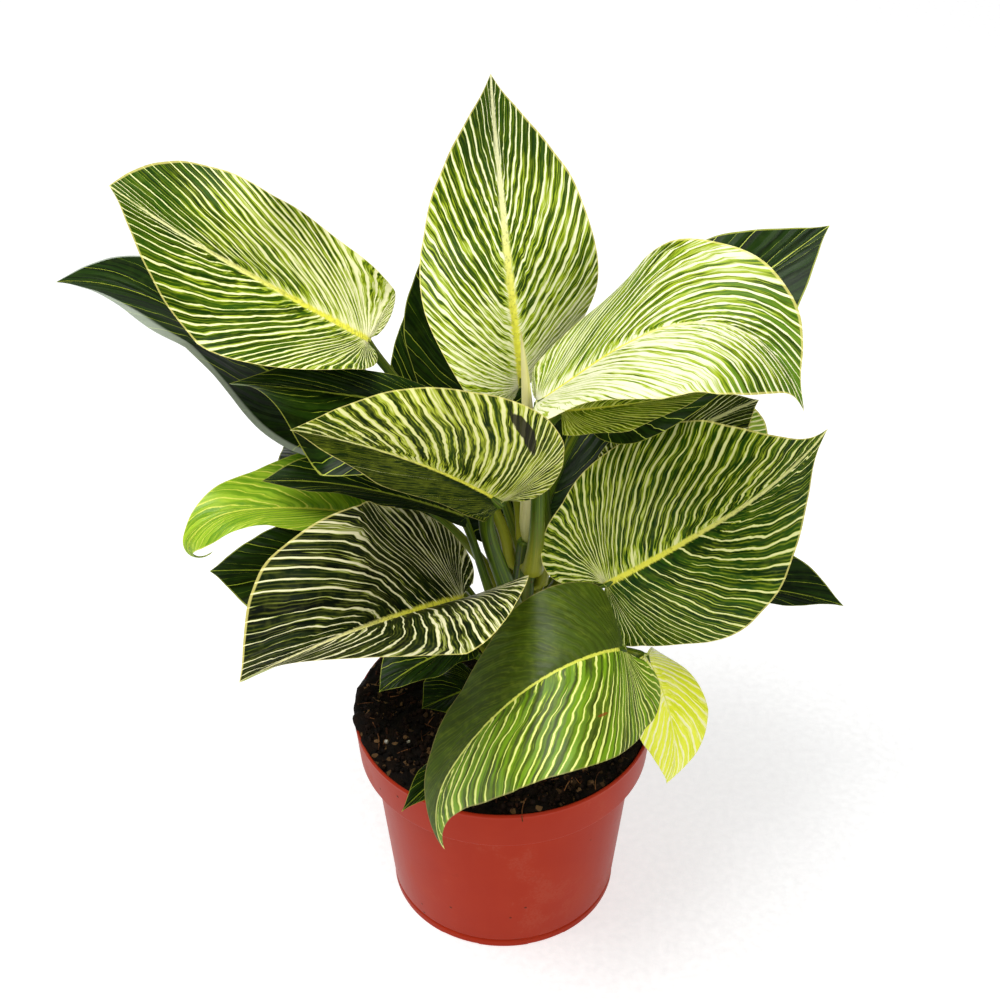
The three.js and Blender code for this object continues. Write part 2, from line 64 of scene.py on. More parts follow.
class Graph:
    # a node tree under construction, of geometry or of a material
    def __init__(self, tree):
        self.tree = tree

    def pick(self, sockets, key):
        # a socket by number, or the one of that name that the node's settings leave in use
        if isinstance(key, int):
            return sockets[key]
        return next(socket for socket in sockets if socket.name == key and socket.enabled)

    def add(self, kind, inputs=None, **settings):
        node = self.tree.nodes.new(kind)
        for key, value in settings.items():
            setattr(node, key, value)
        for key, value in (inputs or {}).items():
            self.feed(self.pick(node.inputs, key), value)
        return node

    def feed(self, socket, value):
        if isinstance(value, Wire):
            self.tree.links.new(value.socket, socket)
        else:
            socket.default_value = value

    def out(self, node, key=0):
        return Wire(self, self.pick(node.outputs, key))

    def get(self, kind, inputs=None, key=0, **settings):
        return self.out(self.add(kind, inputs, **settings), key)

    def calc(self, operation, *values):
        node = self.add("ShaderNodeMath", operation=operation)
        for socket, value in zip(node.inputs, values):
            self.feed(socket, value)
        return self.out(node)

    def move(self, place, offset):
        return self.get("ShaderNodeVectorMath", {0: place, 1: offset}, operation="ADD")

    def scale(self, direction, factor):
        return self.get("ShaderNodeVectorMath", {0: direction, "Scale": factor}, operation="SCALE")

    def mix(self, share, low, high):
        return low + (high - low) * share

    def ramp(self, value, low, high):
        # a soft step from 0 at low to 1 at high
        return self.get("ShaderNodeMapRange", {"Value": value, "From Min": low, "From Max": high},
                        interpolation_type="SMOOTHSTEP")

    def shaped(self, value, heights):
        # a value read off a smooth curve through heights at even steps
        points = [(i / (len(heights) - 1), height) for i, height in enumerate(heights)]
        node = self.add("ShaderNodeFloatCurve", {"Value": value})
        node.mapping.clip_min_y = -1
        node.mapping.use_clip = True
        marks = node.mapping.curves[0].points
        for mark, place in zip(marks, (points[0], points[-1])):
            mark.location = place
        for place in points[1:-1]:
            marks.new(*place)
        node.mapping.update()
        return self.out(node)

    def vector(self, x=0.0, y=0.0, z=0.0):
        return self.get("ShaderNodeCombineXYZ", {"X": x, "Y": y, "Z": z})

    def split(self, value):
        node = self.add("ShaderNodeSeparateXYZ", {"Vector": value})
        return [self.out(node, axis) for axis in "XYZ"]

    def grain(self, place, scale=1.0, detail=1.0, roughness=0.5):
        inputs = {"Vector": place, "Scale": scale, "Detail": detail, "Roughness": roughness}
        return self.get("ShaderNodeTexNoise", inputs, "Fac")

    def blend(self, share, low, high):
        # a mix of two colours
        node = self.add("ShaderNodeMix", data_type="RGBA")
        for key, value in zip(("Factor", "A", "B"), (share, low, high)):
            self.feed(self.pick(node.inputs, key), value)
        return self.out(node, "Result")

    def mark(self, name):
        # a number that the mesh carries, as a material reads it
        return self.get("ShaderNodeAttribute", attribute_name=name, key="Fac")

    def read(self, name, kind="FLOAT_VECTOR"):
        return self.get("GeometryNodeInputNamedAttribute", {"Name": name}, data_type=kind)

    def store(self, geometry, name, value, kind="FLOAT2", domain="CORNER"):
        inputs = {"Geometry": geometry, "Name": name, "Value": value}
        return self.get("GeometryNodeStoreNamedAttribute", inputs, data_type=kind, domain=domain)

    def place(self, geometry, **inputs):
        return self.get("GeometryNodeSetPosition", {"Geometry": geometry, **inputs})

    def join(self, parts):
        node = self.add("GeometryNodeJoinGeometry")
        for part in parts:
            self.feed(node.inputs[0], part)
        return self.out(node)

    def finish(self, geometry, skin):
        # smooth shading, no instances and a material
        smooth = self.get("GeometryNodeSetShadeSmooth", {"Geometry": geometry, "Shade Smooth": True})
        real = self.get("GeometryNodeRealizeInstances", {"Geometry": smooth})
        return self.get("GeometryNodeSetMaterial", {"Geometry": real, "Material": skin})


socketKinds = {
    float: "NodeSocketFloat",
    int: "NodeSocketInt",
    tuple: "NodeSocketColor",
    "geometry": "NodeSocketGeometry",
    "material": "NodeSocketMaterial",
    "colour": "NodeSocketColor",
    "value": "NodeSocketFloat",
}


def newGroup(name, kind, inputs, outputs):
    # a node group whose inputs are given with their first values, or with the name of their kind
    graph = Graph(bpy.data.node_groups.new(name, kind))
    for label, value in inputs.items():
        socketKind = socketKinds[value if isinstance(value, str) else type(value)]
        item = graph.tree.interface.new_socket(label, in_out="INPUT", socket_type=socketKind)
        if not isinstance(value, str):
            item.default_value = value
    for label, value in outputs.items():
        graph.tree.interface.new_socket(label, in_out="OUTPUT", socket_type=socketKinds[value])
    source = graph.add("NodeGroupInput")
    target = graph.add("NodeGroupOutput")
    graph.given = {label: graph.out(source, label) for label in inputs}
    graph.give = lambda label, value: graph.feed(target.inputs[label], value)
    return graph


def placeGroup(graph, group, values):
    kind = "GeometryNodeGroup" if group.tree.bl_idname == "GeometryNodeTree" else "ShaderNodeGroup"
    node = graph.add(kind, node_tree=group.tree)
    for label, value in values.items():
        graph.feed(node.inputs[label], value)
    return node


def newPiece(name, data):
    piece = bpy.data.objects.new(name, data)
    bpy.context.scene.collection.objects.link(piece)
    return piece


def plainMesh(piece):
    # the piece's shape with its modifiers made part of the mesh
    return bpy.data.meshes.new_from_object(piece.evaluated_get(bpy.context.evaluated_depsgraph_get()))


def grown(name, data, group, values):
    # a plain mesh made by a geometry group from a starting mesh and its named values
    seed = newPiece(name + "Seed", data)
    modifier = seed.modifiers.new("growth", "NODES")
    modifier.node_group = group.tree
    for item in group.tree.interface.items_tree:
        if item.in_out == "INPUT" and item.name in values:
            modifier[item.identifier] = values[item.name]
    mesh = plainMesh(seed)
    seed.modifiers.remove(modifier)
    bpy.data.objects.remove(seed)
    mesh.name = name
    return newPiece(name, mesh)


def dress(piece, node):
    # a finished piece stands for its CAD node
    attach(piece, "root")
    if node:
        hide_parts(node)


def chain(name, places, **marks):
    # a line of points with named vectors or numbers on each
    mesh = bpy.data.meshes.new(name)
    mesh.from_pydata(places, [(i, i + 1) for i in range(len(places) - 1)], [])
    for mark, values in marks.items():
        if isinstance(values[0], Vector):
            layer = mesh.attributes.new(mark, "FLOAT_VECTOR", "POINT")
            layer.data.foreach_set("vector", [x for value in values for x in value])
        else:
            layer = mesh.attributes.new(mark, "FLOAT", "POINT")
            layer.data.foreach_set("value", values)
    return mesh


# A blade's outline as shares of the length (forward) and of the half width (reach), at even steps
# from the edge of the notch behind the stalk to the tip, and where the vein there leaves the rib.
outline = {
    "forward": (-0.1, -0.15, -0.11, 0, 0.17, 0.35, 0.55, 0.73, 0.87, 0.95, 1),
    "reach": (0.13, 0.36, 0.61, 0.82, 0.96, 1, 0.88, 0.6, 0.28, 0.09, 0),
    "root": (0, 0, 0, 0, 0.01, 0.05, 0.16, 0.31, 0.49, 0.67, 0.85),
}

blade = {
    "rows": 90,
    "columns": 17,
    "columnSpread": 1.35,
    "veinBend": 0.6,
    "tailSharpness": 14.0,
    "ribSteps": 72,
    "ribHalf": 0.42 * mm,
    "marginHalf": 0.22 * mm,
    "ribRidge": 0.7 * mm,
    "ribGroove": 0.35 * mm,
    "ribReach": 1.3 * mm,
    "crinkle": 1.6 * mm,
    "crinklePitch": 5.0,
    "ripples": 2.3,
    "sharpFold": 1.2,
    "ribSeam": 0.01 * mm,
    "rimSeam": 0.001 * mm,
}

stalk = {
    "rising": 0.35,
    "arriving": 0.3,
    "steps": 28,
    "sides": 14,
    "clearance": 0.3,
    "footSwell": 0.35,
    "topSwell": 0.25,
    "channel": 0.22,
}

# What a leaf has unless its own entry below says otherwise, in millimetres and degrees. A pair is
# for the left half and the right half, and a list is spread evenly from the joint to the tip. The
# camber bows a half's middle up, the wave is the height of the margin's ripple, and the tail thins
# the tip. The stalk leaves the stem at a share of its height, turned and splayed outwards.
usualLeaf = {
    "lobe": 0.6, "swell": 0.2, "tail": 0, "roll": [0], "turn": 0, "splay": 0.3, "knee": 50,
    "thickness": (2.3, 1.6), "camber": 10, "wave": 1.2, "colours": {},
}

leaves = [
    {
        "name": "top", "look": "striped", "joint": (6, 15, 236), "length": 112, "left": 32, "right": 32,
        "lobe": (0.3, 0.1), "swell": (0, 0.1), "fold": 0, "heading": [114, 98, 118],
        "rise": [80, 54, 86], "roll": [30, -18, -22], "stalk": 0.97, "camber": (8, 6), "wave": 1.5,
        "colours": {
            "Left Cream": 0.46, "Right Cream": 0.48, "Base Cream": 0.16, "Tip Green": 0.3,
            "Rib Width": 0.32, "Patchiness": 0.12, "Cream": (247, 246, 204), "Dark": (30, 54, 6),
            "Light": (44, 78, 6),
        },
    },
    {
        "name": "upper_right", "look": "striped", "joint": (12, -10, 245), "length": 120, "left": 32,
        "right": 29, "lobe": (0.1, 0), "swell": (0.4, 0.9), "fold": (7, 6), "tail": 0.08,
        "heading": [4, -20, -28, -29], "rise": [38, 44, 37, 13, -40, -71], "roll": [-14, 32, 41],
        "stalk": 0.93, "thickness": (3.2, 2), "camber": (8, 4),
        "colours": {
            "Left Cream": 0.54, "Right Cream": 0.66, "Base Cream": 0.05, "Tip Green": 0.3,
            "Rib Width": 0.12, "Patchiness": 0.2, "Cream": (240, 239, 204), "Light": (92, 130, 30),
        },
    },
    {
        "name": "upper_left", "look": "striped", "joint": (-49, 21, 251), "length": 106, "left": 37,
        "right": 29, "lobe": (0.4, 0.2), "swell": (0, 0.9), "fold": (42, -5), "heading": [167, 172, 157],
        "rise": [27, 30, 29], "roll": [-28, -68, -37], "stalk": 0.87, "turn": -22, "splay": 0.1,
        "camber": (0, 12), "wave": (1.2, 2.4),
        "colours": {
            "Left Cream": 0.38, "Right Cream": 0.5, "Base Cream": 0.1, "Tip Green": 0.4,
            "Rib Width": 0.26, "Patchiness": 0.15, "Cream": (245, 243, 188), "Light": (48, 84, 6),
        },
    },
    {
        "name": "far_left", "look": "dark", "joint": (-60, 33, 208), "length": 127, "left": 35,
        "right": 29, "lobe": (1, 0.3), "swell": (-0.1, 0.5), "fold": (11, 5), "heading": [162, 163, 161],
        "rise": [26, 32, -17], "roll": [-11, 12, -6], "stalk": 0.66, "turn": -15, "wave": (2, 1),
        # the whitish rim widened along the left half's margin is a painted highlight where that margin
        # catches the light, partly its paler underside
        "colours": {"Edge": (206, 216, 200), "Left Edge Highlight": 0.06, "Left Cream": -0.6, "Right Cream": -0.6},
    },
    {
        "name": "left_shade", "look": "dark", "joint": (-23, -1, 235), "length": 75, "left": 37,
        "right": 10, "lobe": 0.5, "swell": (0.3, 0.6), "fold": (26, 9), "heading": [-169, -184, -167],
        "rise": [22, 6, 13], "roll": [-28, -42, 5], "stalk": 0.76, "turn": -24, "splay": 0.2,
    },
    {
        "name": "centre_left", "look": "striped", "joint": (-1, -30, 217), "length": 88, "left": 11,
        "right": 38, "lobe": (0, 0.6), "swell": (0.4, -0.6), "fold": (-30, 55),
        "heading": [-164, -168, -138], "rise": [42, 29, 32], "roll": [-50, -34, 2], "stalk": 0.5,
        "turn": 25, "splay": 0.15, "knee": 80, "thickness": (4.2, 2.4),
        "colours": {
            # the left half, hanging below the rib, is darkened: partly its own plain green, partly painted
            # shade
            "Left Cream": -0.9, "Left Shade": 0.9, "Right Cream": 0.46, "Tip Green": 0.1,
            "Rib Width": 0.12, "Base Cream": 0, "Patchiness": 0.06, "Cream": (238, 236, 166),
            "Halo": (190, 202, 56), "Dark": (18, 36, 2), "Light": (40, 66, 6), "Thread Weight": 0.5,
            "Bruising": 0.95, "Bruise Along": 2.494, "Bruise Out": 0.775, "Bruise Width": 0.032,
            "Bruise Length": 0.14, "Bruise": (34, 32, 20),
        },
    },
    {
        "name": "mid_left", "look": "dark", "joint": (-14, -4, 190), "length": 77, "left": 8,
        "right": 15, "lobe": 0, "swell": (0.5, 0.4), "fold": (19, 8), "heading": [-180, -180, -180],
        "rise": [25, 14, -4], "roll": [-13, -10, -24], "stalk": 0.62, "turn": -22,
        # this leaf lies in shadow: its dark greens and darkened left half are partly painted shade
        "colours": {"Left Shade": 0.4},
    },
    {
        "name": "curled_tip", "look": "lime", "joint": (-46, 5, 184), "length": 92, "left": 14,
        "right": 24, "swell": (0.8, -0.4), "fold": (15, 14), "tail": 0.12, "heading": [-168, -166, -145],
        "rise": [16, 16, 10, 1, -49, -219], "roll": [-25, -4, -37], "stalk": 0.5,
        "colours": {
            "Dark": (104, 150, 26), "Light": (160, 196, 46), "Cream": (214, 222, 90), "Left Cream": 0,
            "Right Cream": 0, "Rib Width": 0.12, "Veins": 26,
        },
    },
    {
        "name": "low_left_shade", "look": "dark", "joint": (-41, 0, 160), "length": 70, "left": 28,
        "right": 22, "swell": 0.3, "fold": 0, "heading": [-175], "rise": [8, 2], "roll": [-20],
        "stalk": 0.4,
    },
    {
        "name": "lower_left", "look": "striped", "joint": (-15, -25, 168), "length": 105, "left": 44,
        "right": 42, "lobe": (0.1, 0.8), "swell": (-0.1, 0.6), "fold": (44, 34),
        "heading": [-138, -124, -169], "rise": [19, 23, -26], "roll": [-2, -37, 7], "stalk": 0.42,
        "turn": -18, "camber": 0,
        "colours": {
            "Dark": (7, 14, 4), "Light": (18, 34, 8), "Cream": (240, 234, 190), "Halo": (150, 160, 60),
            "Left Cream": 0.28, "Right Cream": 0.26, "Tip Green": 0.4, "Base Cream": 0.05,
            "Rib Width": 0.3, "Patchiness": 0.5, "Margin Cream": 0.15, "shine": 0.05,
            "Streak Weight": 1.3, "Thread Weight": 0.35,
        },
    },
    {
        "name": "right", "look": "striped", "joint": (38, -15, 167), "length": 101, "left": 44,
        "right": 41, "lobe": (1.2, 0.75), "swell": (0.3, -0.3), "fold": (-7, -14), "tail": 0.06,
        "heading": [13, 2, 41], "rise": [25, 38, 36], "roll": [72, 43, 46], "stalk": 0.56, "camber": 8,
        "wave": 2.4,
        "colours": {
            "Left Cream": 0.44, "Right Cream": 0.16, "Base Cream": 0, "Tip Green": 0.15,
            "Rib Width": 0.2, "Patchiness": 0.15, "Streak Weight": 1.1, "Cream": (236, 236, 166),
            "Dark": (14, 42, 2), "Light": (42, 78, 6), "Halo": (186, 204, 50), "Thread Weight": 0.55,
        },
    },
    {
        "name": "front", "look": "olive", "joint": (43, -50, 166), "length": 128, "left": 36,
        "right": 29, "lobe": (0.8, 0), "swell": (-0.3, -0.6), "fold": (1, -8), "tail": 0.1,
        "heading": [-140, -165, -160, -122], "rise": [27, -37, -61, -117], "roll": [-46, -13, -47],
        "stalk": 0.39, "turn": 8, "camber": 6,
        "colours": {
            "Dark": (56, 72, 1), "Light": (112, 152, 10), "Cream": (232, 234, 140),
            "Halo": (180, 200, 50), "Left Cream": 0.26, "Right Cream": -1.6, "Right Shade": 0.9,
            "Base Cream": 0, "Rib Cream": 0.1, "Rib Width": 0.1, "Patchiness": 0.15,
            "Thread Weight": 0.14, "Bruising": 0.85, "Bruise Along": 0.53, "Bruise Out": 0.588,
            "Bruise Width": 0.014, "Bruise Length": 0.016, "Bruise": (130, 66, 10),
        },
    },
    {
        "name": "young_lime", "look": "lime", "joint": (54, -23, 139), "length": 62, "left": 18,
        "right": 15, "lobe": 0.1, "swell": -0.1, "fold": (-22, -7), "heading": [-48, -48, -42],
        "rise": [-46, -74, -110], "roll": [-21, 36, 39], "stalk": 0.3, "turn": 20,
        "colours": {
            "Dark": (218, 228, 24), "Light": (236, 242, 50), "Halo": (244, 246, 120),
            "Cream": (250, 248, 186), "Rib Width": 0.06, "Left Cream": 0.4, "Right Cream": 0.4,
            "Veins": 22, "Patchiness": 0.15,
        },
    },
    {
        "name": "back_right", "look": "dark", "joint": (35, 26, 222), "length": 110, "left": 28,
        "right": 28, "fold": 5, "heading": [31, 24], "rise": [24, 28], "roll": [30], "stalk": 0.84,
        "turn": 25,
        "colours": {"Left Cream": -0.7, "Cream": (214, 226, 100), "Right Cream": -0.7},
    },
    {
        "name": "right_striped", "look": "striped", "joint": (21, 4, 232), "length": 55, "left": 14,
        "right": 12, "lobe": (0.1, 0), "swell": (0.2, 0.1), "fold": (5, 10), "heading": [-1, -8, -7],
        "rise": [5, 15, 18], "roll": [34, 23, 26], "stalk": 0.79, "turn": 10,
        "colours": {
            "Left Cream": 0.4, "Right Cream": 0.4, "Cream": (224, 228, 120), "Halo": (176, 190, 40),
            "Dark": (40, 64, 6), "Light": (112, 138, 22), "Rib Width": 0.08,
        },
    },
    {
        "name": "right_wedge", "look": "striped", "joint": (44, 10, 196), "length": 64, "left": 16,
        "right": 22, "fold": 5, "heading": [35, 25], "rise": [23, 6], "roll": [35], "stalk": 0.68,
        "turn": 36,
        # its greens are set near black: painted shade of the shadow this leaf lies in
        "colours": {"Left Cream": 0.3, "Right Cream": 0.3, "Dark": (8, 20, 5), "Light": (26, 46, 8)},
    },
    {
        "name": "right_pale", "look": "striped", "joint": (46, 21, 180), "length": 66, "left": 23,
        "right": 20, "swell": (0.9, 0.2), "fold": (31, 5), "heading": [25, 28, 19],
        "rise": [32, -2, -20], "roll": [35, 53, 40], "stalk": 0.62, "turn": -10,
        "colours": {
            "Left Cream": 0.7, "Right Cream": 0.7, "Light": (130, 160, 60), "Dark": (90, 130, 30),
        },
    },
    {
        "name": "back_centre", "look": "dark", "joint": (16, 30, 163), "length": 60, "left": 24,
        "right": 24, "fold": 5, "heading": [67, 76], "rise": [43, 30], "stalk": 0.52, "turn": 20,
    },
    {
        "name": "low_right", "look": "dark", "joint": (56, 4, 148), "length": 76, "left": 29,
        "right": 12, "fold": 5, "heading": [4, -11], "rise": [8, -14], "stalk": 0.38, "turn": 12,
    },
    {
        "name": "back_left_tall", "look": "dark", "joint": (-8, 38, 206), "length": 76, "left": 22,
        "right": 24, "fold": 8, "heading": [118], "rise": [38, 80], "stalk": 0.73, "turn": -28,
    },
    {
        "name": "back_left", "look": "dark", "joint": (-18, 38, 189), "length": 62, "left": 14,
        "right": 24, "fold": 8, "heading": [125, 105], "rise": [22, 58], "stalk": 0.7, "turn": -14,
    },
    {
        "name": "small_front_left", "look": "dark", "joint": (-14, -25, 146), "length": 38, "left": 10,
        "right": 17, "lobe": 0.5, "fold": (15, 10), "heading": [-150], "rise": [6, -28], "roll": [-10],
        "stalk": 0.34, "turn": -2,
    },
    {
        "name": "dim_front", "look": "dark", "joint": (-10, -18, 119), "length": 30, "left": 13,
        "right": 13, "lobe": 0.5, "fold": 10, "heading": [-135], "rise": [16, 12], "roll": [-10],
        "stalk": 0.26, "turn": -10,
    },
    {
        "name": "small_rim", "look": "dark", "joint": (-2, -30, 101), "length": 54, "left": 10,
        "right": 9, "lobe": 0.5, "fold": 10, "heading": [-132], "rise": [19, -14], "stalk": 0.25,
        "turn": 10,
    },
    {
        "name": "rear_low", "look": "dark", "joint": (6, 46, 150), "length": 96, "left": 32, "right": 32,
        "lobe": 1, "fold": 8, "heading": [88], "rise": [12, -30], "stalk": 0.3,
    },
    {
        "name": "rear_left_low", "look": "dark", "joint": (-34, 36, 160), "length": 80, "left": 30,
        "right": 30, "lobe": 1, "fold": 8, "heading": [138], "rise": [14, -20], "roll": [-5],
        "stalk": 0.42,
    },
    {
        "name": "rear_right_low", "look": "dark", "joint": (41, 41, 168), "length": 92, "left": 30,
        "right": 30, "lobe": 1, "fold": 8, "heading": [44], "rise": [16, -18], "roll": [5],
        "stalk": 0.48, "turn": 10,
    },
]
leaves = [{**usualLeaf, **leaf} for leaf in leaves]


def along(values, share):
    # a list read at a share from 0 to 1, straight between its entries
    place = min(max(share, 0), 1) * (len(values) - 1)
    low = min(int(place), len(values) - 1)
    high = min(low + 1, len(values) - 1)
    return values[low] + (values[high] - values[low]) * (place - low)


def perHalf(value):
    return value if isinstance(value, tuple) else (value, value)


def ribOf(leaf):
    # the blade's rib as stations of place, direction, right side and upper normal
    stations = []
    place = Vector(leaf["joint"]) * mm
    step = leaf["length"] * mm / blade["ribSteps"]
    for i in range(blade["ribSteps"] + 1):
        share = i / blade["ribSteps"]
        heading, rise, roll = (math.radians(along(leaf[key], share)) for key in ("heading", "rise", "roll"))
        flat = math.cos(rise)
        ahead = Vector((flat * math.cos(heading), flat * math.sin(heading), math.sin(rise)))
        level = Vector((math.sin(heading), -math.cos(heading), 0))
        side = level * math.cos(roll) - level.cross(ahead) * math.sin(roll)
        stations.append((place.copy(), ahead, side, side.cross(ahead)))
        place += ahead * step
    return stations


def bezier(points, share):
    while len(points) > 1:
        points = [a.lerp(b, share) for a, b in zip(points, points[1:])]
    return points[0]


stem = {
    "foot": (3, 5, 70), "waist": (5, 3, 120), "top": (9, 0, 176), "footRadius": 6, "topRadius": 4,
    "steps": 140, "rings": 11, "ringDepth": 0.1, "channel": 0.05,
}


def stemRadius(share):
    return (stem["footRadius"] + (stem["topRadius"] - stem["footRadius"]) * share) * mm


def stemPlace(share):
    return bezier([Vector(stem[key]) * mm for key in ("foot", "waist", "top")], share)


def stalkPath(leaf):
    # the stalk's path from inside the stem to the underside of the blade's joint, with radii
    footRadius, topRadius = (radius * mm for radius in leaf["thickness"])
    base = stemPlace(leaf["stalk"])
    joint, ahead, side, normal = ribOf(leaf)[0]
    outward = ((joint - base) * Vector((1, 1, 0))).normalized()
    outward.rotate(Matrix.Rotation(math.radians(leaf["turn"]), 3, "Z"))
    start = base + outward * (stemRadius(leaf["stalk"]) + stalk["clearance"] * mm + footRadius)
    knee = math.radians(leaf["knee"])
    arrival = ahead * math.cos(knee) + normal * math.sin(knee)
    end = joint - normal * topRadius * 0.55
    reach = (end - start).length
    leave = (outward * leaf["splay"] + Vector((0, 0, 1))).normalized()
    bends = [start + leave * reach * stalk["rising"], end - arrival * reach * stalk["arriving"]]
    places, radii = [base - Vector((0, 0, footRadius))], [footRadius * 0.9]
    for i in range(stalk["steps"] + 1):
        share = i / stalk["steps"]
        swell = 1 + stalk["footSwell"] * (1 - share) ** 8 + stalk["topSwell"] * share ** 10
        places.append(bezier([start, *bends, end], share))
        radii.append((footRadius + (topRadius - footRadius) * share) * swell)
    places.append(joint + ahead * topRadius * 1.6 - normal * topRadius * 0.35)
    radii.append(topRadius * 0.6)
    return places, radii


# The node groups' inputs: what each half of a blade has of its own, and what both share.
halfSizes = {
    "Width": 0.03, "Fold": 0.0, "Camber": 0.0, "Lobe": 1.0, "Swell": 0.0, "Wave": 0.0, "Wave Start": 0.0,
}
wholeSizes = {"Length": 0.1, "Tail": 0.0, "Crinkle": 0.0, "Seed": 0.0, "Wave Count": 2.0}


def makeHalfBlade():
    # one half of a blade: a grid of veins by steps along each vein, laid on the rib
    inputs = {"Rib": "geometry", "Side": 1.0, **halfSizes, **wholeSizes}
    group = newGroup("halfBlade", "GeometryNodeTree", inputs, {"Sheet": "geometry"})
    given = group.given
    sizes = {"Size X": 1.0, "Size Y": 1.0, "Vertices X": blade["rows"], "Vertices Y": blade["columns"]}
    grid = group.get("GeometryNodeMeshGrid", sizes)
    x, y = group.split(group.get("GeometryNodeInputPosition"))[:2]
    margin = x + 0.5
    out = group.calc("POWER", y + 0.5, blade["columnSpread"])
    raw, reach, root = (group.shaped(margin, outline[key]) for key in ("forward", "reach", "root"))
    behind = group.calc("MINIMUM", raw, 0.0) * given["Lobe"]
    ahead = group.calc("MAXIMUM", raw, 0.0)
    forward = behind + ahead + given["Swell"] * ahead * (1 - ahead)
    body = 1 - given["Tail"] * (1 - group.calc("POWER", margin, blade["tailSharpness"]))
    bend = out + blade["veinBend"] * (out * out - out)
    place = group.mix(bend, root, forward) * body
    across = reach * out
    width = across * given["Width"]
    factor = group.calc("MINIMUM", group.calc("MAXIMUM", place, 0.0), 1.0)
    sampled = []
    for mark in ("ribSide", "ribNormal"):
        inputs = {"Curves": given["Rib"], "Factor": factor, "Value": group.read(mark)}
        kind = "GeometryNodeSampleCurve"
        sampled.append(group.add(kind, inputs, data_type="FLOAT_VECTOR", mode="FACTOR"))
    side, normal = (group.out(node, "Value") for node in sampled)
    reached, tangent = (group.out(sampled[0], key) for key in ("Position", "Tangent"))
    tilt = given["Fold"] + given["Camber"] * (1 - across)
    ripple = group.calc("SINE", fullTurn * (given["Wave Count"] * place + given["Wave Start"]))
    spot = group.vector(place * blade["crinklePitch"], across * given["Side"] * 2.0, given["Seed"])
    crinkle = (group.grain(spot, detail=2.0) - 0.5) * given["Crinkle"] * across
    lift = width * group.calc("SINE", tilt) + given["Wave"] * ripple * out * out * across + crinkle
    for direction, length in (
        (side, width * group.calc("COSINE", tilt) * given["Side"]),
        (normal, lift),
        (tangent, group.calc("MINIMUM", place, 0.0) * given["Length"]),
    ):
        reached = group.move(reached, group.scale(direction, length))
    sheet = group.store(grid, "leafUv", group.vector(margin + (1 + given["Side"]), out))
    sheet = group.store(sheet, "leafRun", group.vector(place, width * (1 / centimetre)))
    group.give("Sheet", group.place(sheet, Position=reached))
    return group


def makeBladeTree():
    # both halves of a blade, given their thickness, a rib and two materials
    halfBlade = makeHalfBlade()
    inputs = {"Rib": "geometry", **wholeSizes, "Upper": "material", "Under": "material"}
    for label, value in halfSizes.items():
        inputs["Left " + label] = value
        inputs["Right " + label] = value
    tree = newGroup("leafBlade", "GeometryNodeTree", inputs, {"Blade": "geometry"})
    given = tree.given
    rib = tree.get("GeometryNodeMeshToCurve", {"Mesh": given["Rib"]})
    sheets = []
    for name, sign in (("Left ", -1.0), ("Right ", 1.0)):
        values = {label: given[label] for label in wholeSizes}
        values.update({label: given[name + label] for label in halfSizes})
        sheet = tree.out(placeGroup(tree, halfBlade, {"Rib": rib, "Side": sign, **values}))
        sheets.append(tree.get("GeometryNodeFlipFaces", {"Mesh": sheet}) if sign > 0 else sheet)
    merge = "GeometryNodeMergeByDistance"
    sheet = tree.get(merge, {"Geometry": tree.join(sheets), "Distance": blade["ribSeam"]})
    neighbours = tree.get("GeometryNodeInputMeshEdgeNeighbors")
    isEdge = tree.get("FunctionNodeCompare", {"A": neighbours, "B": 1}, data_type="INT", operation="EQUAL")
    border = tree.get("GeometryNodeFieldOnDomain", {"Value": isEdge}, data_type="BOOLEAN", domain="EDGE")
    sheet = tree.store(sheet, "border", border, "BOOLEAN", "POINT")
    out = tree.split(tree.read("leafUv"))[1]
    place, distance = tree.split(tree.read("leafRun"))[:2]
    inner = 1 - tree.read("border", "BOOLEAN")
    fromRib = distance * (centimetre / blade["ribReach"])
    bump = tree.calc("EXPONENT", -1.0 * fromRib * fromRib) * (1.05 - place)
    half = tree.mix(out, blade["ribHalf"], blade["marginHalf"])
    normal = tree.get("GeometryNodeInputNormal")
    faces = []
    for height, material in (
        ((half - bump * blade["ribGroove"]) * inner, given["Upper"]),
        (-1.0 * (half + bump * blade["ribRidge"]) * inner, given["Under"]),
    ):
        face = tree.place(sheet, Offset=tree.scale(normal, height))
        faces.append(tree.get("GeometryNodeSetMaterial", {"Geometry": face, "Material": material}))
    faces[1] = tree.get("GeometryNodeFlipFaces", {"Mesh": faces[1]})
    whole = tree.get(merge, {"Geometry": tree.join(faces), "Distance": blade["rimSeam"]})
    whole = tree.get("GeometryNodeSetShadeSmooth", {"Geometry": whole, "Shade Smooth": True})
    bent = {"A": tree.get("GeometryNodeInputMeshEdgeAngle"), "B": blade["sharpFold"]}
    bent = tree.get("FunctionNodeCompare", bent, operation="GREATER_THAN")
    crisp = {"Geometry": whole, "Selection": bent, "Shade Smooth": False}
    whole = tree.get("GeometryNodeSetShadeSmooth", crisp, domain="EDGE")
    tree.give("Blade", tree.get("GeometryNodeRealizeInstances", {"Geometry": whole}))
    return tree


